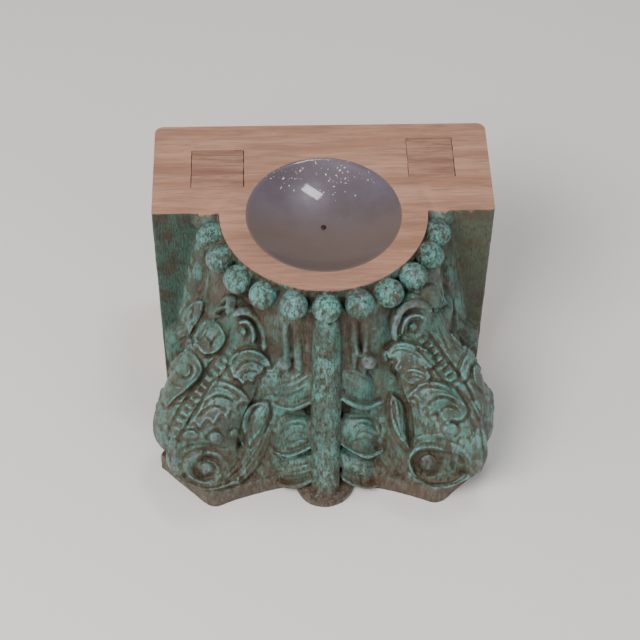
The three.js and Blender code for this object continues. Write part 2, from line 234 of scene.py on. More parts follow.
def swept(forms, path, width, thick, face, ends=(0.2, 0.2), boxy=1.0, step=1.5):
    """A closed form along a curve. width and thick are half sizes, face is the side that looks out."""
    length = path_length(path)
    rows = int(max(FEWEST_ROWS, length / step * ROWS_PER_STEP))
    t = 0.5 - 0.5 * np.cos(np.pi * (np.arange(rows) + 0.5) / rows)
    line = smooth_line(path, t)
    tangent = unit(np.gradient(line, axis=0))
    face = np.asarray(face, float)
    face = smooth_line(face, t) if face.ndim == 2 else np.broadcast_to(face, line.shape)
    out = unit(face - tangent * (face * tangent).sum(1, keepdims=True))
    across = np.cross(out, tangent)
    first = 1 - np.minimum(t / ends[0], 1)
    last = 1 - np.minimum((1 - t) / ends[1], 1)
    swell = np.sqrt(np.maximum(1 - first**2, 0)) * np.sqrt(np.maximum(1 - last**2, 0))
    w, h = spread(width, t), spread(thick, t)
    count = int(np.clip(2 * math.pi * max(w.max(), h.max()) / step, *RING_POINTS))
    turn = np.linspace(0, 2 * np.pi, count, endpoint=False)
    c, s = np.cos(turn), np.sin(turn)
    cb, sb = np.sign(c) * np.abs(c) ** boxy, np.sign(s) * np.abs(s) ** boxy
    side = w[:, None] * swell[:, None] * cb[None]
    lift = h[:, None] * swell[:, None] * sb[None]
    points = line[:, None] + across[:, None] * side[..., None] + out[:, None] * lift[..., None]
    whole = np.concatenate([points.reshape(-1, 3), smooth_line(path, np.array([0.0, 1.0]))])
    forms.add(whole, ring_faces(rows, count))


def net(points, rows, columns):
    """A smooth sheet through a net of points, sampled evenly in both ways."""
    p = np.asarray(points, float)

    def through(values, samples):
        n = len(values) - 1
        if n == 1:
            f = samples.reshape(-1, *([1] * (values.ndim - 1)))
            return values[0] * (1 - f) + values[1] * f
        ends = np.concatenate([[2 * values[0] - values[1]], values, [2 * values[-1] - values[-2]]])
        x = samples * n
        i = np.minimum(x.astype(int), n - 1)
        return cubic(ends, i, (x - i).reshape(-1, *([1] * (values.ndim - 1))))

    sheet = through(p, rows)
    return through(sheet.swapaxes(0, 1), columns).swapaxes(0, 1)


def petal(forms, points, face, depth, round_edge, step, relief=None):
    """A raised sheet with rounded edges and a back that runs into the wood. Rows go from the rim
    (v = 0) down, columns from the root (u = 0) to the tip."""
    p = np.asarray(points, float)
    high = np.linalg.norm(np.diff(p, axis=0), axis=2).sum(0).max()
    wide = np.linalg.norm(np.diff(p, axis=1), axis=2).sum(1).max()
    rows, columns = int(max(8, high / step)), int(max(8, wide / step))
    v, u = np.linspace(0, 1, rows), np.linspace(0, 1, columns)
    vv, uu = np.meshgrid(v, u, indexing="ij")
    front = net(p, v, u)
    normal = unit(np.cross(np.gradient(front, axis=0), np.gradient(front, axis=1)))
    face = np.asarray(face, float)
    normal = np.where(((normal * face).sum(-1) < 0)[..., None], -normal, normal)
    edge = np.minimum(np.minimum(uu, 1 - uu) * wide, np.minimum(vv, 1 - vv) * high)
    near = np.minimum(edge, round_edge)
    lift = np.sqrt(np.maximum(round_edge**2 - (round_edge - near) ** 2, 0)) - round_edge
    if relief is not None:
        lift = lift + relief(uu, vv)
    top = front + normal * lift[..., None]
    back = front - unit(face) * depth - normal
    grid = np.arange(rows * columns).reshape(rows, columns)
    under = grid + rows * columns
    rim = np.concatenate([grid[0, :-1], grid[:-1, -1], grid[-1, :0:-1], grid[:0:-1, 0]])
    low = rim + rows * columns
    q = np.concatenate([
        np.stack([grid[:-1, :-1], grid[:-1, 1:], grid[1:, 1:], grid[1:, :-1]], -1).reshape(-1, 4),
        np.stack([under[:-1, :-1], under[1:, :-1], under[1:, 1:], under[:-1, 1:]], -1).reshape(-1, 4),
        np.stack([np.roll(rim, -1), rim, low, np.roll(low, -1)], -1),
    ])
    faces = np.concatenate([q[:, [0, 1, 2]], q[:, [0, 2, 3]]])
    whole = np.concatenate([top.reshape(-1, 3), back.reshape(-1, 3)])
    forms.add(whole, outward(whole, faces))


def outward(points, faces):
    """The faces, turned over where that is needed to make them look out."""
    a, b, c = points[faces[:, 0]], points[faces[:, 1]], points[faces[:, 2]]
    volume = np.einsum("ij,ij->i", a, np.cross(b, c)).sum()
    return faces if volume > 0 else faces[:, ::-1]


def ball(forms, centre, radii, face, along=(1, 0, 0)):
    """A round or oval knob. radii are along, across and out."""
    out = unit(face)
    first = unit(np.asarray(along, float) - out * np.dot(along, out))
    second = np.cross(out, first)
    rows, count = 22, 30
    polar = np.pi * (np.arange(rows) + 0.5) / rows
    turn = np.linspace(0, 2 * np.pi, count, endpoint=False)
    x = np.sin(polar)[:, None] * np.cos(turn) * radii[0]
    y = np.sin(polar)[:, None] * np.sin(turn) * radii[1]
    z = np.cos(polar)[:, None] * np.ones(count) * radii[2]
    points = np.asarray(centre) + x[..., None] * first + y[..., None] * second + z[..., None] * out
    ring = np.arange(rows * count).reshape(rows, count)
    nxt = np.roll(ring, -1, axis=1)
    faces = np.concatenate([
        np.stack([ring[:-1], ring[1:], nxt[1:]], -1).reshape(-1, 3),
        np.stack([ring[:-1], nxt[1:], nxt[:-1]], -1).reshape(-1, 3),
        np.stack([np.full(count, rows * count), ring[0], nxt[0]], -1),
        np.stack([np.full(count, rows * count + 1), nxt[-1], ring[-1]], -1),
    ])
    tips = np.stack([np.asarray(centre) + out * radii[2], np.asarray(centre) - out * radii[2]])
    whole = np.concatenate([points.reshape(-1, 3), tips])
    forms.add(whole, outward(whole, faces))


def pushed_faces(n):
    """The faces between two like outlines of n points, each closed by a point in its middle."""
    i = np.arange(n)
    j = np.roll(i, -1)
    return np.concatenate([
        np.stack([i, j, j + n], 1), np.stack([i, j + n, i + n], 1),
        np.stack([j, i, np.full(n, 2 * n)], 1), np.stack([i + n, j + n, np.full(n, 2 * n + 1)], 1),
    ])


def prism(forms, outline, low, high, axis="z"):
    """A flat outline pushed straight through from low to high. axis is the way it is pushed."""
    o = np.asarray(outline, float)

    def place(points, level):
        level = np.full(len(points), float(level))
        flat = points.T
        return np.stack((flat[0], flat[1], level) if axis == "z" else (flat[0], level, flat[1]), 1)

    middle = o.mean(0)[None]
    whole = np.concatenate([place(o, low), place(o, high), place(middle, low), place(middle, high)])
    forms.add(whole, outward(whole, pushed_faces(len(o))))


def turned(forms, profile, count, centre=(0.0, 0.0), half=None):
    """A turned form. The profile runs from the axis at the bottom to the axis at the top. half is the
    greatest y that it reaches."""
    prof = np.asarray(profile, float)
    turn = np.linspace(0, 2 * np.pi, count, endpoint=False)
    r, z = prof[1:-1, 0], prof[1:-1, 1]
    points = np.stack([centre[0] + r[:, None] * np.cos(turn), centre[1] + r[:, None] * np.sin(turn),
                       np.repeat(z[:, None], count, 1)], -1)
    if half is not None:
        points[..., 1] = np.minimum(points[..., 1], half)
    tips = np.array([[*centre, prof[0, 1]], [*centre, prof[-1, 1]]])
    whole = np.concatenate([points.reshape(-1, 3), tips])
    forms.add(whole, outward(whole, ring_faces(len(r), count)))


def bend(a, b, c, count=14):
    """Points on a curve from a to c that is drawn towards b."""
    t = np.linspace(0, 1, count)[:, None]
    a, b, c = (np.asarray(p, float) for p in (a, b, c))
    return (1 - t) ** 2 * a + 2 * t * (1 - t) * b + t**2 * c


def groove(x, centre, half, depth):
    return -depth * np.exp(-(((x - centre) / half) ** 2))


# Where things are in the photograph

# The camera that the photograph was taken with, found from the slab, the beads and the dish
LENS_PIXELS = 1750.0
FRAME_PIXELS = 640.0
CAMERA_DISTANCE = 1607.1
CAMERA_ELEVATION = math.radians(50.2)
CAMERA_YAW = math.radians(-2.2)
CAMERA_ROLL = math.radians(0.8)
CAMERA_TARGET = np.array([-2.6, -20.0, 110.2])


def camera_axes():
    e, yaw, roll = CAMERA_ELEVATION, CAMERA_YAW, CAMERA_ROLL
    back = np.array([math.sin(yaw) * math.cos(e), -math.cos(yaw) * math.cos(e), math.sin(e)])
    right = np.array([math.cos(yaw), math.sin(yaw), 0.0])
    up = np.cross(back, right)
    return (right * math.cos(roll) + up * math.sin(roll), up * math.cos(roll) - right * math.sin(roll), back)


def on_plane(pixels, normal, offset):
    """Points in the carving's frame, in millimetres, that the photo shows at these pixels, on planes
    normal . p = offset."""
    right, up, back = camera_axes()
    eye = CAMERA_TARGET + back * CAMERA_DISTANCE
    px = np.asarray(pixels, float)
    half = FRAME_PIXELS / 2
    ray = right * ((px[..., :1] - half) / LENS_PIXELS) + up * ((half - px[..., 1:2]) / LENS_PIXELS) - back
    reach = (np.asarray(offset, float) - eye @ normal) / (ray @ normal)
    return eye + ray * reach[..., None]


def at_depth(points):
    """(pixel x, pixel y, distance in front of the neck's axis) to a point."""
    p = np.asarray(points, float)
    return on_plane(p[..., :2], np.array([0.0, -1.0, 0.0]), p[..., 2])


def on_corner(points, side):
    """(pixel x, pixel y, distance to the front of the corner's upright diagonal plane) to a point."""
    p = np.asarray(points, float)
    return on_plane(p[..., :2], np.array([-side, -1.0, 0.0]) / math.sqrt(2), p[..., 2])


# Nets of the leaf tiers beside the front stem: rows run down, columns run out from the rod
TIERS_LEFT = [
    [[(312, 366, 104), (303, 366, 104), (293, 367, 103), (285, 371, 97)],
     [(312, 376, 113), (303, 376, 114), (291, 377, 113), (279.5, 381, 104)],
     [(312, 386, 116), (303, 387, 117), (291, 388, 116), (277.5, 391, 106)],
     [(312, 394, 116), (303, 396, 117), (291, 398, 116), (278, 398, 108)],
     [(312, 404, 122), (303, 409, 124), (290, 411.5, 123), (271.5, 405, 115)]],
    [[(313, 414, 113), (303, 412, 113), (290, 413, 112), (279, 418, 105)],
     [(313, 424, 122), (303, 422, 124), (290, 423, 123), (275.5, 427, 113)],
     [(313, 433, 125), (303, 433, 127), (290, 434, 126), (275, 437, 116)],
     [(313, 440, 125), (303, 443, 126), (290, 446, 125), (279, 444, 117)],
     [(313, 447, 131), (303, 453, 133), (288, 458, 132), (271, 452, 123)]],
    [[(312, 454, 129), (303, 457, 129), (290, 460, 128), (278, 458, 119)],
     [(312, 462, 133), (303, 465, 134), (290, 467, 131), (274, 465, 121)],
     [(312, 469, 133), (303, 472, 134), (290, 474, 133), (274, 472, 124)],
     [(312, 474, 133), (303, 477, 133), (290, 479, 132), (278, 477, 125)],
     [(312, 482, 138), (303, 487.5, 140), (289, 489.5, 139), (272.5, 485, 131)]],
]
TIERS_RIGHT = [
    [[(342, 362, 104), (352, 362, 104), (362, 368, 103), (370, 371, 97)],
     [(342, 374, 113), (353, 374, 114), (365, 376, 113), (376, 379, 104)],
     [(342, 384, 116), (353, 386, 117), (366, 387, 116), (379, 389, 106)],
     [(342, 392, 116), (353, 396, 117), (366, 398, 116), (379, 396, 108)],
     [(342, 400, 122), (354, 408, 124), (368, 411, 123), (384, 402, 115)]],
    [[(342, 412, 113), (353, 411, 113), (366, 413, 112), (376, 418, 105)],
     [(342, 422, 122), (354, 421, 124), (367, 423, 123), (381.5, 427, 113)],
     [(342, 431, 125), (354, 432, 127), (368, 434, 126), (382, 437, 116)],
     [(342, 438, 125), (354, 443, 126), (368, 446, 125), (379, 443, 117)],
     [(342, 446, 131), (355, 454, 133), (370, 459, 132), (387, 450, 123)]],
    [[(342, 453, 129), (354, 457, 129), (367, 460, 128), (378, 458, 119)],
     [(342, 461, 133), (354, 465, 134), (368, 467, 131), (383, 464, 121)],
     [(342, 468, 133), (354, 472, 134), (368, 474, 133), (383, 472, 124)],
     [(342, 473, 133), (354, 477, 133), (368, 479, 132), (379, 477, 125)],
     [(342, 480, 138), (355, 487, 140), (370, 489.5, 139), (383, 484, 131)]],
]
# Corner leaves: nets run down from the rim and out from the rib. The last number of a point is its
# distance from the diagonal plane
LEFT_LEAF = {
    "sheet": [
        [(236, 308, -2), (244, 306, 4), (255, 308, 11), (265, 316, 18), (272, 334, 24)],
        [(231, 326, -2), (240, 326, 7), (250, 330, 14), (261, 338, 21), (272, 350, 27)],
        [(226, 345, -2), (235, 346, 9), (247, 350, 20), (259, 356, 28), (273, 364, 34)],
        [(216, 362, -2), (226, 368, 12), (239, 374, 24), (250, 378, 30), (262, 379, 34)],
        [(206, 378, -2), (218, 384, 15), (232, 389, 27), (243, 396, 34), (252, 402, 38)],
        [(193, 397, -2), (205, 404, 15), (218, 409, 26), (231, 412, 33), (246, 412, 37)],
        [(181, 415, -2), (194, 422, 14), (208, 426, 24), (222, 428, 30), (240, 430, 34)],
        [(173, 432, -2), (188, 436, 12), (203, 439, 22), (218, 441, 29), (238, 444, 35)],
        [(168, 450, -2), (186, 452, 6), (204, 448, 16), (222, 451, 27), (240, 458, 37)],
        [(167, 463, -2), (184, 467, 5), (205, 468, 20), (224, 470, 31), (244, 474, 41)],
        [(172, 476, -2), (186, 485, 10), (207, 492, 28), (226, 489, 38), (240, 480, 46)]],
    # These are given by their distance in front of the neck's axis
    "husk": [
        [(262, 402, 112), (266, 401, 114), (270, 404, 113)],
        [(248, 412, 116), (260, 413, 120), (272, 416, 116)],
        [(243, 430, 120), (258, 432, 126), (272, 436, 121)],
        [(238, 450, 126), (252, 452, 131), (266, 454, 126)],
        [(232, 470, 132), (244, 472, 136), (256, 470, 131)],
        [(216, 486, 139), (230, 486, 142), (242, 484, 138)]],
    "ground": [
        [(252, 304, 74), (266, 304, 84), (284, 303, 96), (300, 303, 97)],
        [(248, 322, 78), (265, 320, 87), (283, 320, 98), (299, 320, 99)],
        [(246, 340, 82), (264, 338, 90), (282, 336, 99), (298, 336, 100)],
        [(246, 356, 88), (266, 356, 95), (284, 356, 102), (296, 356, 102)],
        [(244, 374, 97), (264, 374, 103), (280, 376, 105), (294, 378, 103)],
        [(242, 392, 106), (262, 392, 111), (278, 394, 111), (290, 396, 109)],
        [(240, 412, 121), (262, 412, 115), (278, 412, 115), (290, 412, 112)],
        [(240, 440, 124), (262, 440, 121), (275, 440, 121), (286, 440, 118)],
        [(240, 462, 122), (260, 460, 126), (273, 458, 125), (284, 458, 122)],
        [(240, 484, 131), (260, 480, 134), (273, 477, 132), (286, 477, 129)]],
    "arch": [(233, 316, 2), (241, 311, 6), (250, 312, 11), (258, 319, 17), (263, 329, 23), (265, 340, 27),
             (264, 350, 29)],
    "inner_arch": [(239, 323, 6), (246, 321, 11), (252, 327, 16), (254, 335, 21), (252, 344, 24)],
}
RIGHT_LEAF = {
    "sheet": [
        [(430, 304, -2), (422, 300, 4), (412, 299, 10), (401, 305, 16), (390, 321, 24)],
        [(427, 324, -2), (417, 323, 7), (406, 327, 15), (397, 335, 21), (388, 347, 28)],
        [(430, 344, -2), (420, 345, 10), (408, 347, 21), (397, 350, 29), (386, 355, 36)],
        [(438, 357, -2), (428, 362, 12), (415, 368, 24), (405, 373, 30), (397, 374, 33)],
        [(449, 372, -2), (438, 379, 14), (424, 384, 26), (413, 390, 33), (405, 397, 38)],
        [(460, 387, -2), (449, 395, 14), (437, 401, 25), (424, 406, 32), (411, 411, 37)],
        [(470, 402, -2), (459, 412, 13), (446, 418, 23), (432, 422, 30), (412, 424, 35)],
        [(479, 419, -2), (467, 427, 11), (452, 432, 21), (436, 435, 29), (413, 438, 36)],
        [(486, 440, -2), (469, 447, 6), (450, 444, 16), (430, 444, 27), (411, 449, 38)],
        [(487, 458, -2), (470, 464, 4), (450, 466, 18), (430, 465, 28), (408, 467, 41)],
        [(483, 472, -2), (467, 481, 11), (446, 490, 28), (424, 488, 38), (405, 478, 47)]],
    "husk": [
        [(397, 394, 112), (393, 393, 114), (389, 396, 113)],
        [(406, 408, 116), (396, 409, 120), (385, 414, 116)],
        [(409, 428, 120), (397, 430, 126), (384, 434, 121)],
        [(413, 446, 126), (401, 449, 131), (387, 453, 126)],
        [(418, 466, 132), (406, 469, 136), (395, 470, 131)],
        [(430, 484, 139), (420, 484, 142), (408, 484, 138)]],
    "ground": [
        [(405, 304, 74), (391, 304, 84), (373, 303, 96), (357, 303, 97)],
        [(409, 322, 78), (392, 320, 87), (374, 320, 98), (358, 320, 99)],
        [(411, 338, 82), (394, 336, 90), (376, 334, 99), (360, 334, 100)],
        [(411, 354, 88), (392, 354, 95), (374, 354, 102), (361, 354, 102)],
        [(413, 372, 97), (394, 372, 103), (378, 374, 105), (364, 376, 103)],
        [(415, 390, 106), (396, 390, 111), (380, 392, 111), (368, 394, 109)],
        [(417, 410, 121), (396, 410, 115), (380, 410, 115), (368, 410, 112)],
        [(417, 438, 124), (396, 438, 121), (383, 438, 121), (372, 438, 118)],
        [(417, 460, 122), (398, 458, 126), (385, 457, 125), (374, 457, 122)],
        [(417, 482, 131), (398, 478, 134), (385, 476, 132), (372, 476, 129)]],
    "arch": [(432, 311, 2), (424, 305, 6), (413, 303, 11), (403, 308, 17), (397, 318, 23), (394, 329, 27),
             (395, 341, 29)],
    "inner_arch": [(427, 320, 6), (418, 314, 11), (408, 317, 16), (402, 326, 21), (400, 337, 24)],
}
# Raised parts with a crisp edge: outline, height and lip in millimetres
RAISED = [
    # left leaf: upper lobe, broad lobe, little comma beside the knob, husk
    ([(228, 364), (232, 356), (240, 351), (250, 349), (259, 351), (267, 357), (271, 366), (265, 367),
      (262, 374), (256, 376), (253, 382), (247, 381), (243, 385), (238, 380), (233, 378),
      (230, 371)], 3.6, 1.3),
    ([(212, 382), (218, 380), (227, 382), (236, 386), (245, 393), (250, 402), (243, 402), (238, 405),
      (236, 411), (231, 410), (227, 418), (221, 415), (214, 424), (207, 420), (200, 428), (194, 423),
      (190, 422), (199, 407), (206, 393)], 3.8, 1.3),
    ([(229, 436), (231, 431), (236, 429), (240, 432), (242, 440), (245, 446), (240, 443),
      (236, 436)], 1.8, 0.4),
    ([(268, 402), (258, 402), (249, 406), (244, 414), (242, 424), (244, 435), (249, 446), (253, 441),
      (261, 432), (268, 419), (270, 409)], 2.4, 0.8),
    # right leaf: hook and shell, broad lobe, husk
    ([(430, 350), (421, 346), (410, 343), (398, 342), (388, 347), (383, 355), (386, 362), (391, 358),
      (397, 360), (394, 368), (398, 373), (404, 366), (418, 364), (428, 369), (436, 364)], 3.0, 1.0),
    ([(400, 367), (408, 364), (420, 364), (428, 369), (431, 378), (425, 384), (415, 386), (405, 382),
      (399, 375)], 1.8, 0.9),
    ([(456, 389), (446, 384), (432, 381), (418, 385), (409, 393), (406, 398), (413, 397), (418, 401),
      (421, 408), (427, 408), (430, 415), (437, 411), (441, 418), (447, 424), (452, 421), (462, 420),
      (468, 411), (462, 398)], 3.8, 1.3),
    ([(391, 394), (389, 405), (391, 420), (398, 436), (410, 450), (406, 432), (406, 412),
      (401, 400)], 2.4, 0.8),
    # outer halves: two lobes and a petal on the left, a hook and a lobe on the right
    ([(207, 319), (217, 322), (224, 331), (226, 340), (220, 350), (211, 355), (202, 354), (196, 345),
      (194, 335), (199, 325)], 3.0, 1.0),
    ([(181, 354), (190, 351), (199, 359), (203, 369), (199, 379), (191, 386), (184, 393), (174, 400),
      (167, 407), (162, 396), (165, 378), (172, 362)], 3.4, 1.2),
    ([(202, 299), (204, 308), (198, 322), (189, 335), (180, 338), (176, 330), (182, 315),
      (191, 303)], 2.2, 0.8),
    ([(459, 371), (464, 358), (471, 350), (475, 357), (470, 367), (468, 378), (462, 381)], 2.4, 0.9),
    ([(473, 367), (482, 364), (490, 374), (494, 387), (488, 392), (480, 389), (474, 380)], 2.6, 1.0),
    # the sunk floor of the right volute, and the hollow round its eye
    ([(449, 452), (459, 454), (466, 462), (465, 472), (456, 480), (443, 484), (428, 483), (417, 476),
      (411, 467), (411, 458), (417, 451), (430, 449)], -5.5, 0.0),
    # the brown recess under the right broad lobe
    ([(409, 401), (417, 404), (421, 412), (428, 413), (432, 420), (439, 419), (442, 427), (440, 434),
      (426, 434), (413, 437), (407, 428), (406, 413)], -3.0, 0.0),
]
# Round knobs: centre, radii in pixels, height, depth of the groove around
KNOBS = [
    ((216, 438), (7, 6.6), 5.5, 2.0), ((190, 435), (8, 5), 4.0, 2.0), ((243.5, 332), (3, 4), 2.0, 0.6),
    ((206.5, 468.5), (7, 6), 4.5, 1.6), ((450.5, 429), (7.6, 7), 6.0, 2.0),
    ((413.5, 327.5), (4, 4.4), 2.4, 1.0), ((428.5, 462.5), (9, 8), 7.5, 0.4),
]
# Rows of teeth on the ribs: line, half width in pixels, number of teeth
TEETH = [
    ([(238, 343), (229, 354), (220, 365), (210, 378), (200, 391), (190, 405), (181, 419), (174, 433),
      (169, 447)], [5.2, 5.4, 5.2, 5.0, 4.6], 15),
    ([(417, 331), (424, 341), (432, 351), (441, 363), (450, 375), (459, 388)], [5.6, 5.8, 5.2, 4.6], 9),
]
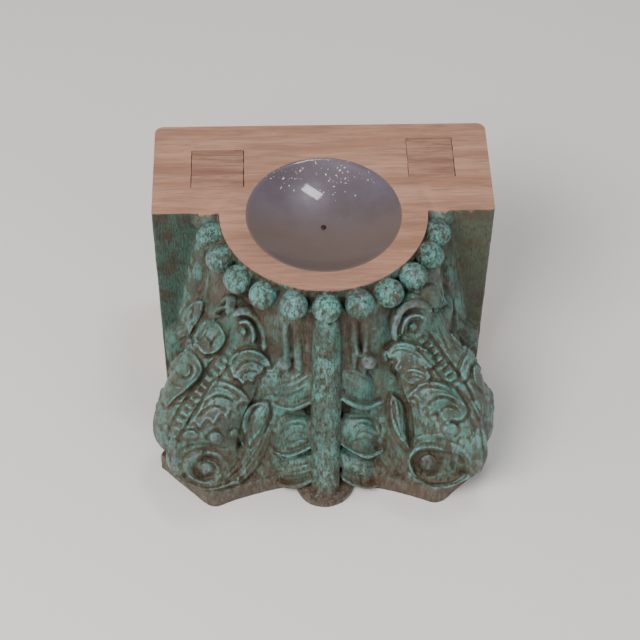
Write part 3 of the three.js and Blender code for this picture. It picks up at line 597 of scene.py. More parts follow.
# Cut lines (depth below zero) and raised lines: points, half width in pixels, height in millimetres
LINES = [
    # left arch and its rings
    ([(236, 321), (243, 317), (250, 319), (256, 325), (258, 334), (256, 344)], 1.8, -2.6),
    ([(239, 334), (239, 328), (244, 325), (248, 329), (248, 336), (244, 340)], 1.7, -2.6),
    # left outer lobes
    ([(203, 333), (210, 341), (212, 351)], 1.4, -2.2),
    ([(220, 332), (214, 339), (211, 345)], 1.3, -1.8),
    ([(175, 368), (179, 375), (187, 378), (192, 372), (190, 363)], 1.6, -2.6),
    ([(169, 377), (174, 384), (183, 386)], 1.4, -2.0),
    ([(167, 409), (173, 404), (182, 403)], 1.4, -2.0),
    ([(196, 306), (189, 319), (181, 331)], 1.2, -1.6),
    ([(160, 404), (161, 420), (164, 438), (169, 456)], 1.2, -1.4),
    # beside the left rib
    ([(231, 341), (222, 351), (212, 363), (202, 377), (192, 391), (182, 405), (173, 421),
      (166, 437)], 1.6, -2.6),
    ([(243, 348), (235, 359), (226, 370), (217, 382), (207, 395), (197, 409), (188, 423), (180, 437),
      (175, 450)], 1.6, -2.6),
    # left upper lobe
    ([(236, 372), (242, 364), (251, 361), (260, 364), (266, 368)], 1.5, -2.2),
    ([(233, 364), (241, 357), (251, 354), (261, 357)], 1.0, -0.9),
    ([(240, 379), (246, 372), (254, 371), (259, 374)], 1.3, -1.6),
    # left broad lobe
    ([(202, 408), (208, 400), (218, 396), (228, 398), (234, 403)], 1.7, -2.8),
    ([(199, 417), (205, 410), (214, 406), (223, 408), (228, 412)], 1.5, -2.4),
    ([(213, 387), (223, 387), (234, 392), (242, 399)], 1.3, -1.6),
    ([(204, 398), (212, 391), (222, 390), (232, 395)], 0.9, -0.8),
    # left husk
    ([(260, 405), (252, 413), (249, 424), (251, 436), (255, 443)], 1.5, -2.2),
    ([(265, 407), (259, 417), (256, 428), (257, 437)], 1.1, -1.5),
    ([(270, 404), (271, 414), (266, 429), (257, 442), (250, 449)], 1.4, -1.8),
    # left volute: floor, rim and the lines that run round it
    ([(214, 475), (207, 478), (199, 476), (195, 469), (198, 462), (206, 458), (215, 460),
      (220, 466)], 2.2, -4.2),
    ([(223, 470), (218, 479), (208, 483), (196, 481), (188, 474), (188, 463), (196, 456), (207, 453),
      (218, 455), (225, 461)], 2.6, 2.4),
    ([(268, 420), (264, 436), (256, 452), (245, 467), (233, 479), (219, 486), (205, 487), (191, 482),
      (183, 473), (182, 462), (189, 453), (202, 448.5), (216, 450), (226, 456), (229, 463)], 1.3, -1.9),
    ([(259, 440), (250, 455), (239, 469), (227, 479), (213, 484), (199, 484), (187, 476),
      (184, 466)], 0.9, -1.0),
    ([(271, 432), (263, 450), (253, 465), (242, 478), (229, 487), (214, 491)], 1.2, -1.4),
    ([(248, 446), (241, 458), (233, 469), (226, 475)], 1.1, -1.4),
    ([(254, 448), (246, 461), (236, 473), (224, 482)], 0.9, -1.0),
    ([(180, 450), (188, 446), (200, 443), (212, 445), (224, 449)], 1.6, -2.0),
    ([(203, 444), (205, 436), (201, 430), (196, 428)], 1.4, -1.6),
    ([(206, 434), (207, 441), (212, 446)], 1.2, -1.2),
    # right arch and its rings
    ([(402, 341), (400, 331), (402, 321), (408, 314), (416, 312), (424, 315)], 1.6, -2.5),
    ([(408, 334), (408, 326), (411, 321), (417, 321), (420, 326)], 1.5, -2.6),
    # beside the right rib
    ([(410, 336), (417, 347), (426, 358), (436, 370), (446, 382), (455, 394)], 1.5, -2.5),
    ([(424, 327), (431, 337), (439, 348), (448, 360), (458, 373), (467, 386), (475, 401)], 1.5, -2.5),
    # right outer lobes
    ([(438, 327), (443, 337), (449, 350)], 1.3, -2.0),
    ([(447, 326), (452, 338), (456, 350)], 1.3, -2.0),
    ([(456, 330), (461, 342), (463, 352)], 1.2, -1.7),
    ([(463, 372), (467, 362), (471, 357)], 1.2, -1.5),
    ([(477, 371), (484, 374), (486, 385)], 1.4, -2.2),
    ([(489, 396), (493, 414), (493, 434), (489, 452)], 1.2, -1.4),
    # right hook and shell
    ([(389, 357), (395, 351), (404, 350), (414, 353), (423, 359)], 1.4, -1.9),
    ([(396, 346), (408, 347), (420, 352)], 1.0, -0.9),
    ([(404, 371), (410, 368), (419, 369), (426, 373)], 1.0, -1.3),
    ([(404, 375), (412, 372), (421, 374), (427, 378)], 1.0, -1.3),
    ([(407, 380), (414, 377), (422, 379)], 1.0, -1.2),
    # right broad lobe
    ([(426, 408), (432, 401), (441, 397), (451, 399), (459, 405)], 1.7, -2.8),
    ([(438, 415), (444, 408), (453, 407), (461, 413)], 1.5, -2.4),
    ([(414, 394), (423, 388), (434, 387), (446, 390), (455, 396)], 1.3, -1.5),
    ([(420, 399), (430, 393), (442, 392), (452, 396)], 0.9, -0.8),
    # right husk
    ([(393, 398), (394, 410), (397, 424), (404, 440)], 1.5, -2.2),
    ([(398, 401), (401, 412), (401, 424), (405, 436)], 1.1, -1.4),
    ([(387, 404), (388, 420), (395, 438), (406, 452)], 1.4, -1.8),
    ([(386, 432), (394, 450), (405, 466), (419, 479), (434, 486)], 1.2, -1.4),
    # right volute: floor, winding rim, three lines above it
    ([(436, 473), (427, 474), (419, 470), (415, 463), (418, 455), (426, 451), (436, 452)], 2.2, -2.6),
    ([(413, 471), (410, 463), (411, 455), (418, 449), (430, 447), (441, 449), (447, 454)], 2.2, 3.6),
    ([(434, 451), (440, 457), (441, 465), (437, 472), (429, 475)], 1.9, -3.2),
    ([(452, 447), (462, 450), (469, 458), (471, 468), (466, 479), (454, 486), (438, 488),
      (422, 484)], 2.2, 2.6),
    ([(412, 444), (422, 440), (436, 439), (450, 441), (462, 445)], 1.3, -1.9),
    ([(413, 438), (422, 435), (434, 434)], 1.1, -1.4),
    ([(407, 404), (405, 415), (407, 428), (411, 439)], 2.2, -2.4),
    # fine lines down the right leaf's outer band
    ([(463, 392), (473, 407), (480, 425), (482, 443), (479, 462)], 1.1, -1.4),
    ([(459, 401), (469, 414), (475, 430), (476, 446), (474, 460)], 1.0, -1.2),
    ([(464, 424), (469, 434), (471, 446)], 0.9, -1.0),
    ([(470, 396), (480, 412), (486, 430), (488, 448)], 1.0, -1.1),
    # tiers on the left of the stem
    ([(280, 382), (288, 382), (297, 379), (308, 371)], 1.4, -2.4),
    ([(279, 389), (288, 389), (298, 386), (309, 378)], 1.4, -2.4),
    ([(279, 396), (288, 396), (297, 393), (306, 387)], 1.3, -2.2),
    ([(273, 401), (281, 405), (293, 405), (305, 400), (312, 396)], 1.6, -2.0),
    ([(277, 428), (277, 421), (283, 416), (293, 414), (306, 415)], 1.3, -1.9),
    ([(281, 434), (284, 427), (292, 424), (302, 424), (308, 428)], 1.5, -2.6),
    ([(286, 440), (292, 434), (301, 432), (308, 434)], 1.4, -2.4),
    ([(289, 446), (298, 440), (309, 439)], 1.2, -1.9),
    ([(273, 448), (282, 452), (294, 450), (306, 445), (312, 441)], 1.4, -1.7),
    ([(278, 466), (288, 467), (300, 465), (311, 462)], 1.2, -1.8),
    ([(276, 471), (288, 473), (300, 471), (311, 468)], 1.2, -1.8),
    ([(275, 479), (288, 482), (302, 480), (312, 476)], 1.3, -1.7),
    ([(275, 405), (283, 409), (293, 409), (303, 405), (312, 401)], 2.4, 1.6),
    ([(276, 452), (284, 456), (294, 455), (305, 450), (312, 445)], 2.4, 1.6),
    ([(277, 483), (289, 486), (301, 484), (311, 480)], 2.2, 1.2),
    # strips over the tiers
    ([(290, 322), (292, 342), (293, 364)], 1.3, -2.2),
    ([(300, 324), (302, 346), (303, 366)], 1.1, -1.5),
    ([(349, 320), (349, 342), (351, 366)], 1.3, -2.2),
    ([(359, 320), (360, 338), (362, 354)], 1.3, -2.4),
    ([(354, 322), (355, 340), (357, 356)], 2.0, 1.2),
    # tiers on the right of the stem
    ([(347, 400), (356, 405), (369, 407), (381, 402)], 2.4, 1.6),
    ([(348, 450), (357, 455), (371, 456), (384, 450)], 2.4, 1.6),
    ([(347, 481), (357, 486), (370, 488), (381, 484)], 2.2, 1.2),
    ([(347, 372), (355, 374), (366, 378), (375, 384)], 1.1, -1.3),
    ([(346, 394), (356, 400), (370, 402), (382, 398)], 1.6, -2.2),
    ([(347, 418), (357, 417), (370, 418), (379, 424), (381, 434)], 1.4, -2.1),
    ([(353, 428), (361, 423), (371, 425), (377, 432)], 1.5, -2.5),
    ([(355, 436), (364, 431), (373, 434), (378, 440)], 1.4, -2.3),
    ([(351, 443), (361, 439), (371, 441), (378, 446)], 1.2, -1.8),
    ([(347, 446), (358, 451), (372, 451), (384, 446)], 1.4, -1.7),
    ([(348, 463), (360, 465), (372, 466), (381, 464)], 1.1, -1.4),
    ([(353, 470), (352, 478), (353, 484)], 1.0, -1.2),
    ([(361, 471), (361, 480), (362, 487)], 1.0, -1.2),
    ([(370, 471), (371, 480), (372, 486)], 1.0, -1.2),
    ([(378, 470), (379, 478), (381, 483)], 1.0, -1.2),
]
# Punched dots, each a small pit
DOTS = [(270, 372), (274, 372), (269.5, 376), (274, 376), (268, 395), (272, 394), (391.6, 378), (388, 381)]
# Paths on a stem in millimetres: out from the neck's axis, across, up
ROD_PATH = [(92, 0, 214), (103, 0, 190), (111, 0, 150), (118, 0, 110), (125, 0, 70), (132, 0, 30),
            (137, 0, -4)]
ROD_SWELL = [0.98, 1.0, 1.06, 1.02, 1.0]
FILLER_PATH = [(90, 27, 196), (94, 28, 176), (98, 28, 158), (104, 28, 142)]
STALK_PATH = [(101, 31, 160), (102, 27, 166), (101, 24, 178)]
KNOB_PLACE = (107, 37, 157)
# The strips' path has shares of the strip's place across. Their places and half widths, on each side
STRIP_PATH = np.array([(90, 0.92, 214), (96.5, 1.0, 196), (99.5, 1.0, 178), (103, 0.98, 158),
                       (109, 0.96, 140)])
STRIPS = {-1: [(15, 3.2), (24, 5.2), (35, 2.6)], 1: [(14.5, 2.6), (22.5, 5.4), (34, 2.4)]}
# The cores of a corner leaf: their outline in the diagonal plane, half thicknesses and insets
CORE_OUTLINE = [(60, 6), (150, 6), (170, 14), (178, 40), (173, 70), (158, 92), (134, 108), (112, 124),
                (92, 140), (60, 150)]
CORES = ((16, 16), (10, 8))
# The body under the leaf's rib, and the leaf's side that swells out over the abacus
NOSE_PATH = [(88, 0, 150), (106, 0, 134), (124, 0, 118), (142, 0, 98), (154, 0, 72), (158, 0, 44),
             (152, 0, 18)]
NOSE_HALF = [16, 20, 22, 23, 23, 21, 18]
NOSE_THICK = [12, 14, 15, 15, 14, 13, 11]
FLANK_PATH = [(98, -74, 148), (117, -90, 130), (127, -97, 108), (135, -99, 84), (140, -98, 58),
              (138, -96, 30)]
FLANK_HALF = [12, 17, 20, 23, 22, 18]
FLANK_THICK = [10, 14, 16, 16.5, 16, 13]


# The carving

FRONT = np.array([0.0, -1.0, 0.0])
RIGHT = np.array([1.0, 0.0, 0.0])
UP = np.array([0.0, 0.0, 1.0])


def frame_of(out, across):
    """The ways out and across, and a function that places points given as out, across and up."""
    out, across = unit(out), unit(across)

    def line(points):
        p = np.asarray(points, float)
        return out * p[..., :1] + across * p[..., 1:2] + UP * p[..., 2:3]

    return out, across, line


def body(forms):
    """The slab, the bell with the neck, the abacus, the flares beside the bell and the foot."""
    corner, cut = ABACUS_REACH, ABACUS_REACH - CORNER_CUT
    r, d = SLAB_ROUND, SLAB_DEPTH
    a = np.linspace(0, np.pi / 2, 7)
    right = np.stack([HALF_WIDTH - r + r * np.cos(a), d - r + r * np.sin(a)], 1)
    left = np.stack([-HALF_WIDTH + r - r * np.sin(a), d - r + r * np.cos(a)], 1)
    plan = np.concatenate([[[-HALF_WIDTH, 0], [HALF_WIDTH, 0]], right, left])
    prism(forms, plan, -OVER_TOP, HEIGHT + OVER_TOP)
    g = NECK_RADIUS - NECK_GROOVE
    bell_foot = ABACUS_REACH - ABACUS_HOLLOW - 2
    profile = [(0, -OVER_TOP), (bell_foot, -OVER_TOP), (bell_foot, ABACUS_THICKNESS)]
    profile += [tuple(p) for p in smooth_line(
        [(bell_foot, ABACUS_THICKNESS, 0), (NECK_RADIUS + BELL_SWELL + BELL_FILL, LEAF_RISE * 0.38, 0),
         (NECK_RADIUS + BELL_SWELL * 0.4 + BELL_FILL, LEAF_RISE * 0.68, 0), (NECK_RADIUS + 2, LEAF_RISE, 0)],
        np.linspace(0.03, 1, 24))[:, :2]]
    profile += [(g, LEAF_RISE + 2 * BEAD_SINK), (g, HEIGHT - NECK_BAND - BEAD_SINK),
                (NECK_RADIUS - 0.8, HEIGHT - NECK_BAND - 0.6), (NECK_RADIUS, HEIGHT - NECK_BAND + 1),
                (NECK_RADIUS, HEIGHT + OVER_TOP), (0, HEIGHT + OVER_TOP)]
    turned(forms, profile, 220, half=INTO_SLAB)
    waist, pull = ABACUS_REACH - ABACUS_HOLLOW, ABACUS_REACH - 1.5 * ABACUS_HOLLOW
    along, forward = cut - ROUND_EDGE, ROUND_BACK - corner
    plan = np.concatenate([
        [[-waist, INTO_SLAB], [-waist, 0]], bend((-waist, 0), (-waist, -cut / 2), (-corner, -cut))[1:],
        bend((-cut - ROUND_CUT, ROUND_CUT - corner), (-cut, -corner), (-along, forward), 6)[:-1],
        bend((-along, forward), (0, -pull), (along, forward), 24),
        bend((along, forward), (cut, -corner), (cut + ROUND_CUT, ROUND_CUT - corner), 6)[1:],
        bend((corner, -cut), (waist, -cut / 2), (waist, 0)), [[waist, INTO_SLAB]],
    ])
    prism(forms, plan, -OVER_TOP, ABACUS_THICKNESS)
    for side in (-1, 1):
        edge = side * (HALF_WIDTH - 3)
        plan = np.concatenate([
            [[0, -OVER_TOP], [side * waist, -OVER_TOP]],
            bend((side * waist, 0), (edge, LEAF_RISE * 0.1), (edge, LEAF_RISE * 0.36))[1:],
            bend((edge, LEAF_RISE * 0.36), (side * (NECK_RADIUS + BELL_SWELL), LEAF_RISE * 0.56),
                 (side * NECK_RADIUS, LEAF_RISE))[1:],
            [[0, LEAF_RISE]],
        ])
        for k in range(FLARE_STEPS):
            reach = INTO_SLAB - FLARE_DEPTH - FLARE_STEP * k
            prism(forms, plan * (1 - FLARE_NARROWS * k * k), reach, INTO_SLAB, axis="y")
    turned(forms, [(0, -OVER_TOP), (FOOT_RADIUS, -OVER_TOP), (FOOT_RADIUS, FOOT_THICKNESS * 0.5),
                   (FOOT_RADIUS - 1.5, FOOT_THICKNESS * 0.62), (FOOT_RADIUS - 2.4, FOOT_THICKNESS * 0.66),
                   (FOOT_RADIUS - 2.2, FOOT_THICKNESS * 0.85), (FOOT_RADIUS - 4, FOOT_THICKNESS),
                   (0, FOOT_THICKNESS)], 90, centre=(0.0, FOOT_RADIUS - ABACUS_REACH))


def bead_centres():
    angles = (np.arange(BEAD_COUNT) / (BEAD_COUNT - 1) - 0.5) * BEAD_ARC
    return np.stack([BEAD_CIRCLE * np.sin(angles), -BEAD_CIRCLE * np.cos(angles),
                     np.full(BEAD_COUNT, HEIGHT - BEAD_RADIUS)], 1)


def beads(forms):
    """The row of beads, and half a bead at each end of it."""
    for centre in bead_centres():
        size = BEAD_RADIUS * (1 + rng.uniform(-0.02, 0.015, 3))
        size[2] = BEAD_RADIUS
        ball(forms, centre, size, face=UP, along=centre * [1, 1, 0])
    for side in (-1, 1):
        place = (side * (BEAD_CIRCLE + 3), 0, HEIGHT - BEAD_RADIUS * 0.72)
        ball(forms, place, (BEAD_RADIUS, BEAD_RADIUS * 0.7, BEAD_RADIUS * 0.78), face=UP)


def hem(u, v):
    """The hem of a tier: a groove, and a raised edge below it."""
    return groove(v, 0.83 + 0.1 * (u - 0.4) ** 2, 0.035, 1.2) + np.exp(-(((v - 0.95) / 0.06) ** 2))


def stem(forms, outward_way, across_way, sides):
    """One stem: the rod, and beside it the strips, a knob and a leaf in three tiers."""
    out, across, line = frame_of(outward_way, across_way)
    rod = [STEM_RADIUS * swell for swell in ROD_SWELL]
    swept(forms, line(ROD_PATH), rod, rod, out, ends=(0.06, 0.03))
    for side, seen_tiers in sides:
        flip = np.array([1, side, 1.0])
        for over, half in STRIPS[side]:
            strip = line(STRIP_PATH * [1, side * over, 1])
            swept(forms, strip, half, 4.5, out, ends=(0.05, 0.1), boxy=0.7)
        swept(forms, line(FILLER_PATH * flip), 13, 5, out, ends=(0.05, 0.1), boxy=0.7)
        ball(forms, line(KNOB_PLACE * flip), (KNOB_RADIUS, KNOB_RADIUS, KNOB_RADIUS * 0.95), out)
        swept(forms, line(STALK_PATH * flip), 3, 4, out)
        for tier in seen_tiers:
            # The tiers are laid out on the front stem and turned to the side ones
            front = at_depth(tier)
            far, wide, high = -front[..., 1:2], np.abs(front[..., 0:1]), front[..., 2:3]
            turned_net = out * far + across * wide * side + UP * high
            petal(forms, turned_net, out, depth=24, round_edge=1.8, step=1.0, relief=hem)


def corner(forms, side, leaf):
    """A corner leaf: its core, the body under its rib, its side, sheets and arches."""
    out, across, line = frame_of((side, -1, 0), (-side, -1, 0))
    for half, inset in CORES:
        ends = [line([(r - inset * (r > 60), n, z - inset * 0.5) for r, z in CORE_OUTLINE])
                for n in (-half, half)]
        whole = np.concatenate([*ends, [ends[0].mean(0)], [ends[1].mean(0)]])
        forms.add(whole, outward(whole, pushed_faces(len(CORE_OUTLINE))))
    swept(forms, line(NOSE_PATH), NOSE_HALF, NOSE_THICK, out + 0.3 * UP, ends=(0.1, 0.1))
    flank = FLANK_PATH * np.array([side, 1, 1])
    swept(forms, flank, FLANK_HALF, FLANK_THICK, RIGHT * side + 0.25 * UP, ends=(0.2, 0.12))
    # The broad sheet of the leaf and the husk beside it, and their mirror images that look to the side
    for turn in (1, -1):
        def fold(points):
            return points if turn == 1 else points - 2 * (points @ across)[..., None] * across

        face = fold(0.55 * across + 0.85 * out + 0.35 * UP)
        petal(forms, fold(on_corner(leaf["sheet"], side)), face, depth=28, round_edge=3, step=1.2)
        petal(forms, fold(at_depth(leaf["husk"])), fold(FRONT), depth=26, round_edge=3, step=1.2)
        petal(forms, fold(at_depth(leaf["ground"])), fold(FRONT), depth=24, round_edge=3, step=2.0)
        swept(forms, fold(on_corner(leaf["arch"], side)), [2.6, 3.2, 3.4, 3.4, 3.0, 2.4], 5, face,
              ends=(0.1, 0.12), step=1.0)
        swept(forms, fold(on_corner(leaf["inner_arch"], side)), [1.6, 2.1, 2.1, 1.7], 3.2, face,
              ends=(0.15, 0.2), step=0.9)


def carved_forms():
    forms = Forms()
    body(forms)
    beads(forms)
    stem(forms, FRONT, RIGHT, ((-1, TIERS_LEFT), (1, TIERS_RIGHT)))
    for side, leaf in ((-1, LEFT_LEAF), (1, RIGHT_LEAF)):
        stem(forms, RIGHT * side, FRONT, ((1, TIERS_LEFT if side < 0 else TIERS_RIGHT),))
        corner(forms, side, leaf)
    return forms


# The fine relief, cut along lines seen in the photograph

def pixels_of(points):
    """Where the photo shows these points, in pixels."""
    right, up, back = camera_axes()
    gap = points - (CAMERA_TARGET + back * CAMERA_DISTANCE)
    reach = -(gap @ back)
    half = FRAME_PIXELS / 2
    return np.stack([half + LENS_PIXELS * (gap @ right) / reach, half - LENS_PIXELS * (gap @ up) / reach], 1)


def beside(px, points, reach, closed=False):
    """The pixels within reach of a smooth line: their indices, distances, and places along it."""
    p = np.asarray(points, float)
    if closed:
        p = np.vstack([p, p[:1]])
    flat = np.column_stack([p, np.zeros(len(p))])
    samples = int(max(6, np.linalg.norm(np.diff(p, axis=0), axis=1).sum() / 1.5))
    line = smooth_line(flat, np.linspace(0, 1, samples))[:, :2]
    inside = ((px > line.min(0) - reach) & (px < line.max(0) + reach)).all(1)
    which = np.nonzero(inside)[0]
    q = px[which]
    a, step = line[:-1], np.diff(line, axis=0)
    best = np.full(len(q), 1e9)
    place = np.zeros(len(q))
    for k in range(len(a)):
        gap = q - a[k]
        f = np.clip(gap @ step[k] / max(step[k] @ step[k], 1e-9), 0, 1)
        distance = np.hypot(*(gap - f[:, None] * step[k]).T)
        nearer = distance < best
        best[nearer] = distance[nearer]
        place[nearer] = (k + f[nearer]) / len(a)
    return which, best, place, line


def ease(x):
    """A soft step from 0 to 1."""
    x = np.clip(x, 0, 1)
    return x * x * (3 - 2 * x)


def relief_at(px):
    """Height in millimetres at each photo pixel, towards the camera."""
    height = np.zeros(len(px))
    for outline, rise, lip in RAISED:
        which, gap, _, line = beside(px, outline, 7, closed=True)
        q = px[which]
        a, b = line[:-1], line[1:]
        crossings = np.zeros(len(q), int)
        for k in range(len(a)):
            spans = (a[k, 1] > q[:, 1]) != (b[k, 1] > q[:, 1])
            at = a[k, 0] + (q[:, 1] - a[k, 1]) * (b[k, 0] - a[k, 0]) / (b[k, 1] - a[k, 1] + 1e-9)
            crossings += spans & (q[:, 0] < at)
        inner = crossings % 2 == 1
        signed = np.where(inner, gap, -gap)
        edge = np.exp(-(((signed - 2.2) / 1.4) ** 2)) * inner
        height[which] += rise * ease((signed + 0.8) / 2.2) + lip * edge
        if rise > 0:
            around = np.exp(-(((signed + 1.6) / 1.7) ** 2))
            height[which] += LOBE_CROWN * ease(signed / 9) - LOBE_GROOVE * around
    for centre, radii, rise, around in KNOBS:
        rho = np.hypot((px[:, 0] - centre[0]) / radii[0], (px[:, 1] - centre[1]) / radii[1])
        height += rise * np.sqrt(np.maximum(1 - rho**2, 0)) + groove(rho, 1.2, 0.22, around)
    for points, half, count in TEETH:
        which, gap, place, _ = beside(px, points, 8)
        over = np.clip(1 - gap / spread(half, place), 0, 1)
        wave = (place * count) % 1
        ends = ease(place * 12) * ease((1 - place) * 12)
        tooth = np.where(wave < TOOTH_PEAK, wave / TOOTH_PEAK, (1 - wave) / (1 - TOOTH_PEAK))
        shape = TOOTH_HEIGHT * tooth * (0.65 + 0.35 * over) - TOOTH_SINK
        height[which] += ends * ease(over * 2.5) * shape
    for points, half, rise in LINES:
        which, gap, place, _ = beside(px, points, 3 * half)
        ends = np.sqrt(np.clip(place * 7, 0, 1)) * np.sqrt(np.clip((1 - place) * 7, 0, 1))
        width = half * (0.55 + 0.45 * ends)
        height[which] += LINE_DEPTH * rise * ends * np.exp(-((gap / width) ** 2))
    for dot in DOTS:
        height += groove(np.hypot(px[:, 0] - dot[0], px[:, 1] - dot[1]), 0.0, 1.1, 2.2)
    return height


def cut_relief(mm, normal):
    """How far each point moves. The front is cut as seen. The sides are the front's mirror image, but
    for what the photo shows of them."""
    x, y = mm[:, 0], mm[:, 1]
    swap = np.sign(x)
    back = camera_axes()[2]

    def mirrored(v):
        return np.stack([-swap * v[:, 1], -swap * v[:, 0], v[:, 2]], 1)

    def pushed(points, facing):
        view = unit(CAMERA_TARGET + back * CAMERA_DISTANCE - points)
        dot = (facing * view).sum(1)
        return view * (relief_at(pixels_of(points)) * ease((dot - 0.02) / 0.3))[:, None], dot

    direct, dot = pushed(mm, normal)
    turned_way = pushed(mirrored(mm), mirrored(normal))[0]
    # What the photo shows is cut as seen there, and what it doesn't show is the mirror image
    share = np.where(-y >= np.abs(x), 1.0, ease(dot / 0.25))[:, None]
    here = ((y < 0) & (mm[:, 2] < HEIGHT - 2 * BEAD_RADIUS - 1))[:, None]
    return here * (share * direct + (1 - share) * SIDE_RELIEF * mirrored(turned_way))


# From the forms to one carved surface

def apply_modifier(piece, kind, **settings):
    """The piece's mesh is replaced by what one modifier makes of it."""
    modifier = piece.modifiers.new(kind.lower(), kind)
    for key, value in settings.items():
        setattr(modifier, key, value)
    bpy.context.view_layer.update()
    fresh = bpy.data.meshes.new_from_object(piece.evaluated_get(bpy.context.evaluated_depsgraph_get()))
    old = piece.data
    piece.modifiers.clear()
    piece.data = fresh
    bpy.data.meshes.remove(old)


def coordinates(data):
    co = np.empty(len(data.vertices) * 3, np.float32)
    data.vertices.foreach_get("co", co)
    return co.reshape(-1, 3).astype(float)


def set_coordinates(data, co):
    data.vertices.foreach_set("co", co.astype(np.float32).ravel())
    data.update()


def edges_of(data):
    e = np.empty(len(data.edges) * 2, np.int32)
    data.edges.foreach_get("vertices", e)
    return e.reshape(-1, 2)


def averaged(values, edges, count, rounds):
    """Each point's values are drawn halfway to its neighbours' mean, as many times as rounds says."""
    degree = np.maximum(np.bincount(edges.ravel(), minlength=count).astype(float), 1)
    for _ in range(rounds):
        total = np.empty_like(values)
        for k in range(values.shape[1]):
            v = values[:, k]
            total[:, k] = np.bincount(edges[:, 0], v[edges[:, 1]], count) + np.bincount(
                edges[:, 1], v[edges[:, 0]], count)
        values = 0.5 * values + 0.5 * total / degree[:, None]
    return values


def normals_of(data):
    n = np.empty(len(data.vertices) * 3, np.float32)
    data.vertex_normals.foreach_get("vector", n)
    return n.reshape(-1, 3).astype(float)


def lattice_noise(points, scale, seed):
    """Smooth noise from -1 to 1 on a seeded lattice. scale is in millimetres."""
    table = np.random.default_rng(seed).uniform(-1, 1, (64, 64, 64))
    p = points / scale + 100.0
    i = np.floor(p).astype(int)
    f = p - i
    f = f * f * (3 - 2 * f)
    value = 0
    for dx in (0, 1):
        for dy in (0, 1):
            for dz in (0, 1):
                weight = (np.abs(1 - dx - f[:, 0]) * np.abs(1 - dy - f[:, 1]) * np.abs(1 - dz - f[:, 2]))
                value = value + weight * table[(i[:, 0] + dx) % 64, (i[:, 1] + dy) % 64, (i[:, 2] + dz) % 64]
    return value


def boolean(piece, other, operation):
    apply_modifier(piece, "BOOLEAN", object=other, operation=operation, solver="MANIFOLD")


def give(data, name, values):
    """A value for each point of the mesh, for the shader."""
    layer = data.attributes.new(name, "FLOAT", "POINT")
    layer.data.foreach_set("value", np.asarray(values, np.float32))


def smooth(data, degrees):
    data.shade_smooth()
    data.set_sharp_from_angle(angle=math.radians(degrees))


def cut_away(piece, forms, operation="DIFFERENCE"):
    cutter = forms.mesh("cut")
    boolean(piece, cutter, operation)
    delete(cutter)


def dish_profile(radius, depth, steps):
    """A hollow that is part of a sphere, from the axis out to its rim."""
    sphere = (radius**2 + depth**2) / (2 * depth)
    r = np.linspace(0, radius, steps)
    return [(a, HEIGHT - depth + sphere - math.sqrt(sphere**2 - a * a)) for a in r]


def delete(piece):
    data = piece.data
    bpy.data.objects.remove(piece)
    bpy.data.meshes.remove(data)


def carve_block():
    """The forms as one surface, cut, sawn and seated, with the values that its paint needs."""
    piece = carved_forms().mesh("capital_block_carved")
    apply_modifier(piece, "REMESH", mode="VOXEL", voxel_size=VOXEL * MM, adaptivity=0.0)
    data = piece.data
    count = len(data.vertices)
    edges = edges_of(data)
    co = coordinates(data)
    mm = co / MM - [0, AXIS_Y, 0]
    normal = normals_of(data)
    hand = sum(amount * lattice_noise(mm, scale, seed) for amount, scale, seed in HAND_WORK)
    front = np.clip((3 - mm[:, 1]) / 4, 0, 1)
    top = np.clip((HEIGHT - 1 - mm[:, 2]) / 2, 0, 1)
    co = co + cut_relief(mm, normal) * MM
    set_coordinates(data, averaged(co, edges, count, 1))
    co = coordinates(data)
    normal = normals_of(data)
    co = co + normal * (hand * (0.25 + 0.75 * front) * top * MM)[:, None]
    set_coordinates(data, co)
    near = averaged(co, edges, count, 4)
    far = averaged(near, edges, count, 26)
    normal = normals_of(data)
    ridge = ((co - near) * normal).sum(1) / MM
    hollow = ((far - co) * normal).sum(1) / MM
    # Saw the top and the underside flat, then cut the seats of the dish and the plugs
    box = Forms()
    span = 400.0
    prism(box, [(-span, -span), (span, -span), (span, span), (-span, span)], 0.0, HEIGHT)
    cut_away(piece, box, "INTERSECT")
    seat = Forms()
    rim = DISH_RADIUS + DISH_WALL + DISH_GAP
    hollow_line = dish_profile(rim, DISH_DEPTH + DISH_WALL + SEAT_GAP, 24)
    above = HEIGHT + CUTTER_RISE
    turned(seat, hollow_line + [(rim, above), (0, above)], 128, centre=(0.0, -DISH_FORWARD))
    for plug, gap in ((LEFT_PLUG, LEFT_GAP), (RIGHT_PLUG, RIGHT_GAP)):
        w, d = plug["width"] / 2 + gap, plug["depth"] / 2 + gap
        prism(seat, ragged(plug["x"], plug["y"], w, d, 40), HEIGHT - PLUG_DEPTH - SEAT_GAP, above)
    cut_away(piece, seat)
    data = piece.data
    ratio = CARVED_FACES / sum(len(p.vertices) - 2 for p in data.polygons)
    if ratio < 1:
        apply_modifier(piece, "DECIMATE", decimate_type="COLLAPSE", ratio=ratio,
                       use_collapse_triangulate=True)
    # Each point of the lighter mesh takes the values of the nearest point of the fine one
    tree = kdtree.KDTree(count)
    for i, p in enumerate(co):
        tree.insert(p, i)
    tree.balance()
    data = piece.data
    places = coordinates(data)
    nearest = np.array([tree.find(p)[1] for p in places])
    give(data, "ridge", ridge[nearest])
    give(data, "hollow", hollow[nearest])
    masks(data, places / MM - [0, AXIS_Y, 0])
    smooth(data, SHARP_CARVING)
    return piece


def ragged(x, y, w, d, count):
    """The outline of a hand-cut square seat, its sides not quite straight."""
    t = np.linspace(-1, 1, count)

    def wobble(seed):
        return EDGE_WOBBLE * lattice_noise(np.stack([t * w, 0 * t, 0 * t], 1), EDGE_SCALE, seed)

    south = np.stack([x + t * w, y - d - wobble(21)], 1)
    east = np.stack([x + w + wobble(22), y + t * d], 1)
    north = np.stack([x - t * w, y + d + wobble(23)], 1)
    west = np.stack([x - w - wobble(24), y - t * d], 1)
    return np.concatenate([south[:-1], east[:-1], north[:-1], west[:-1]])


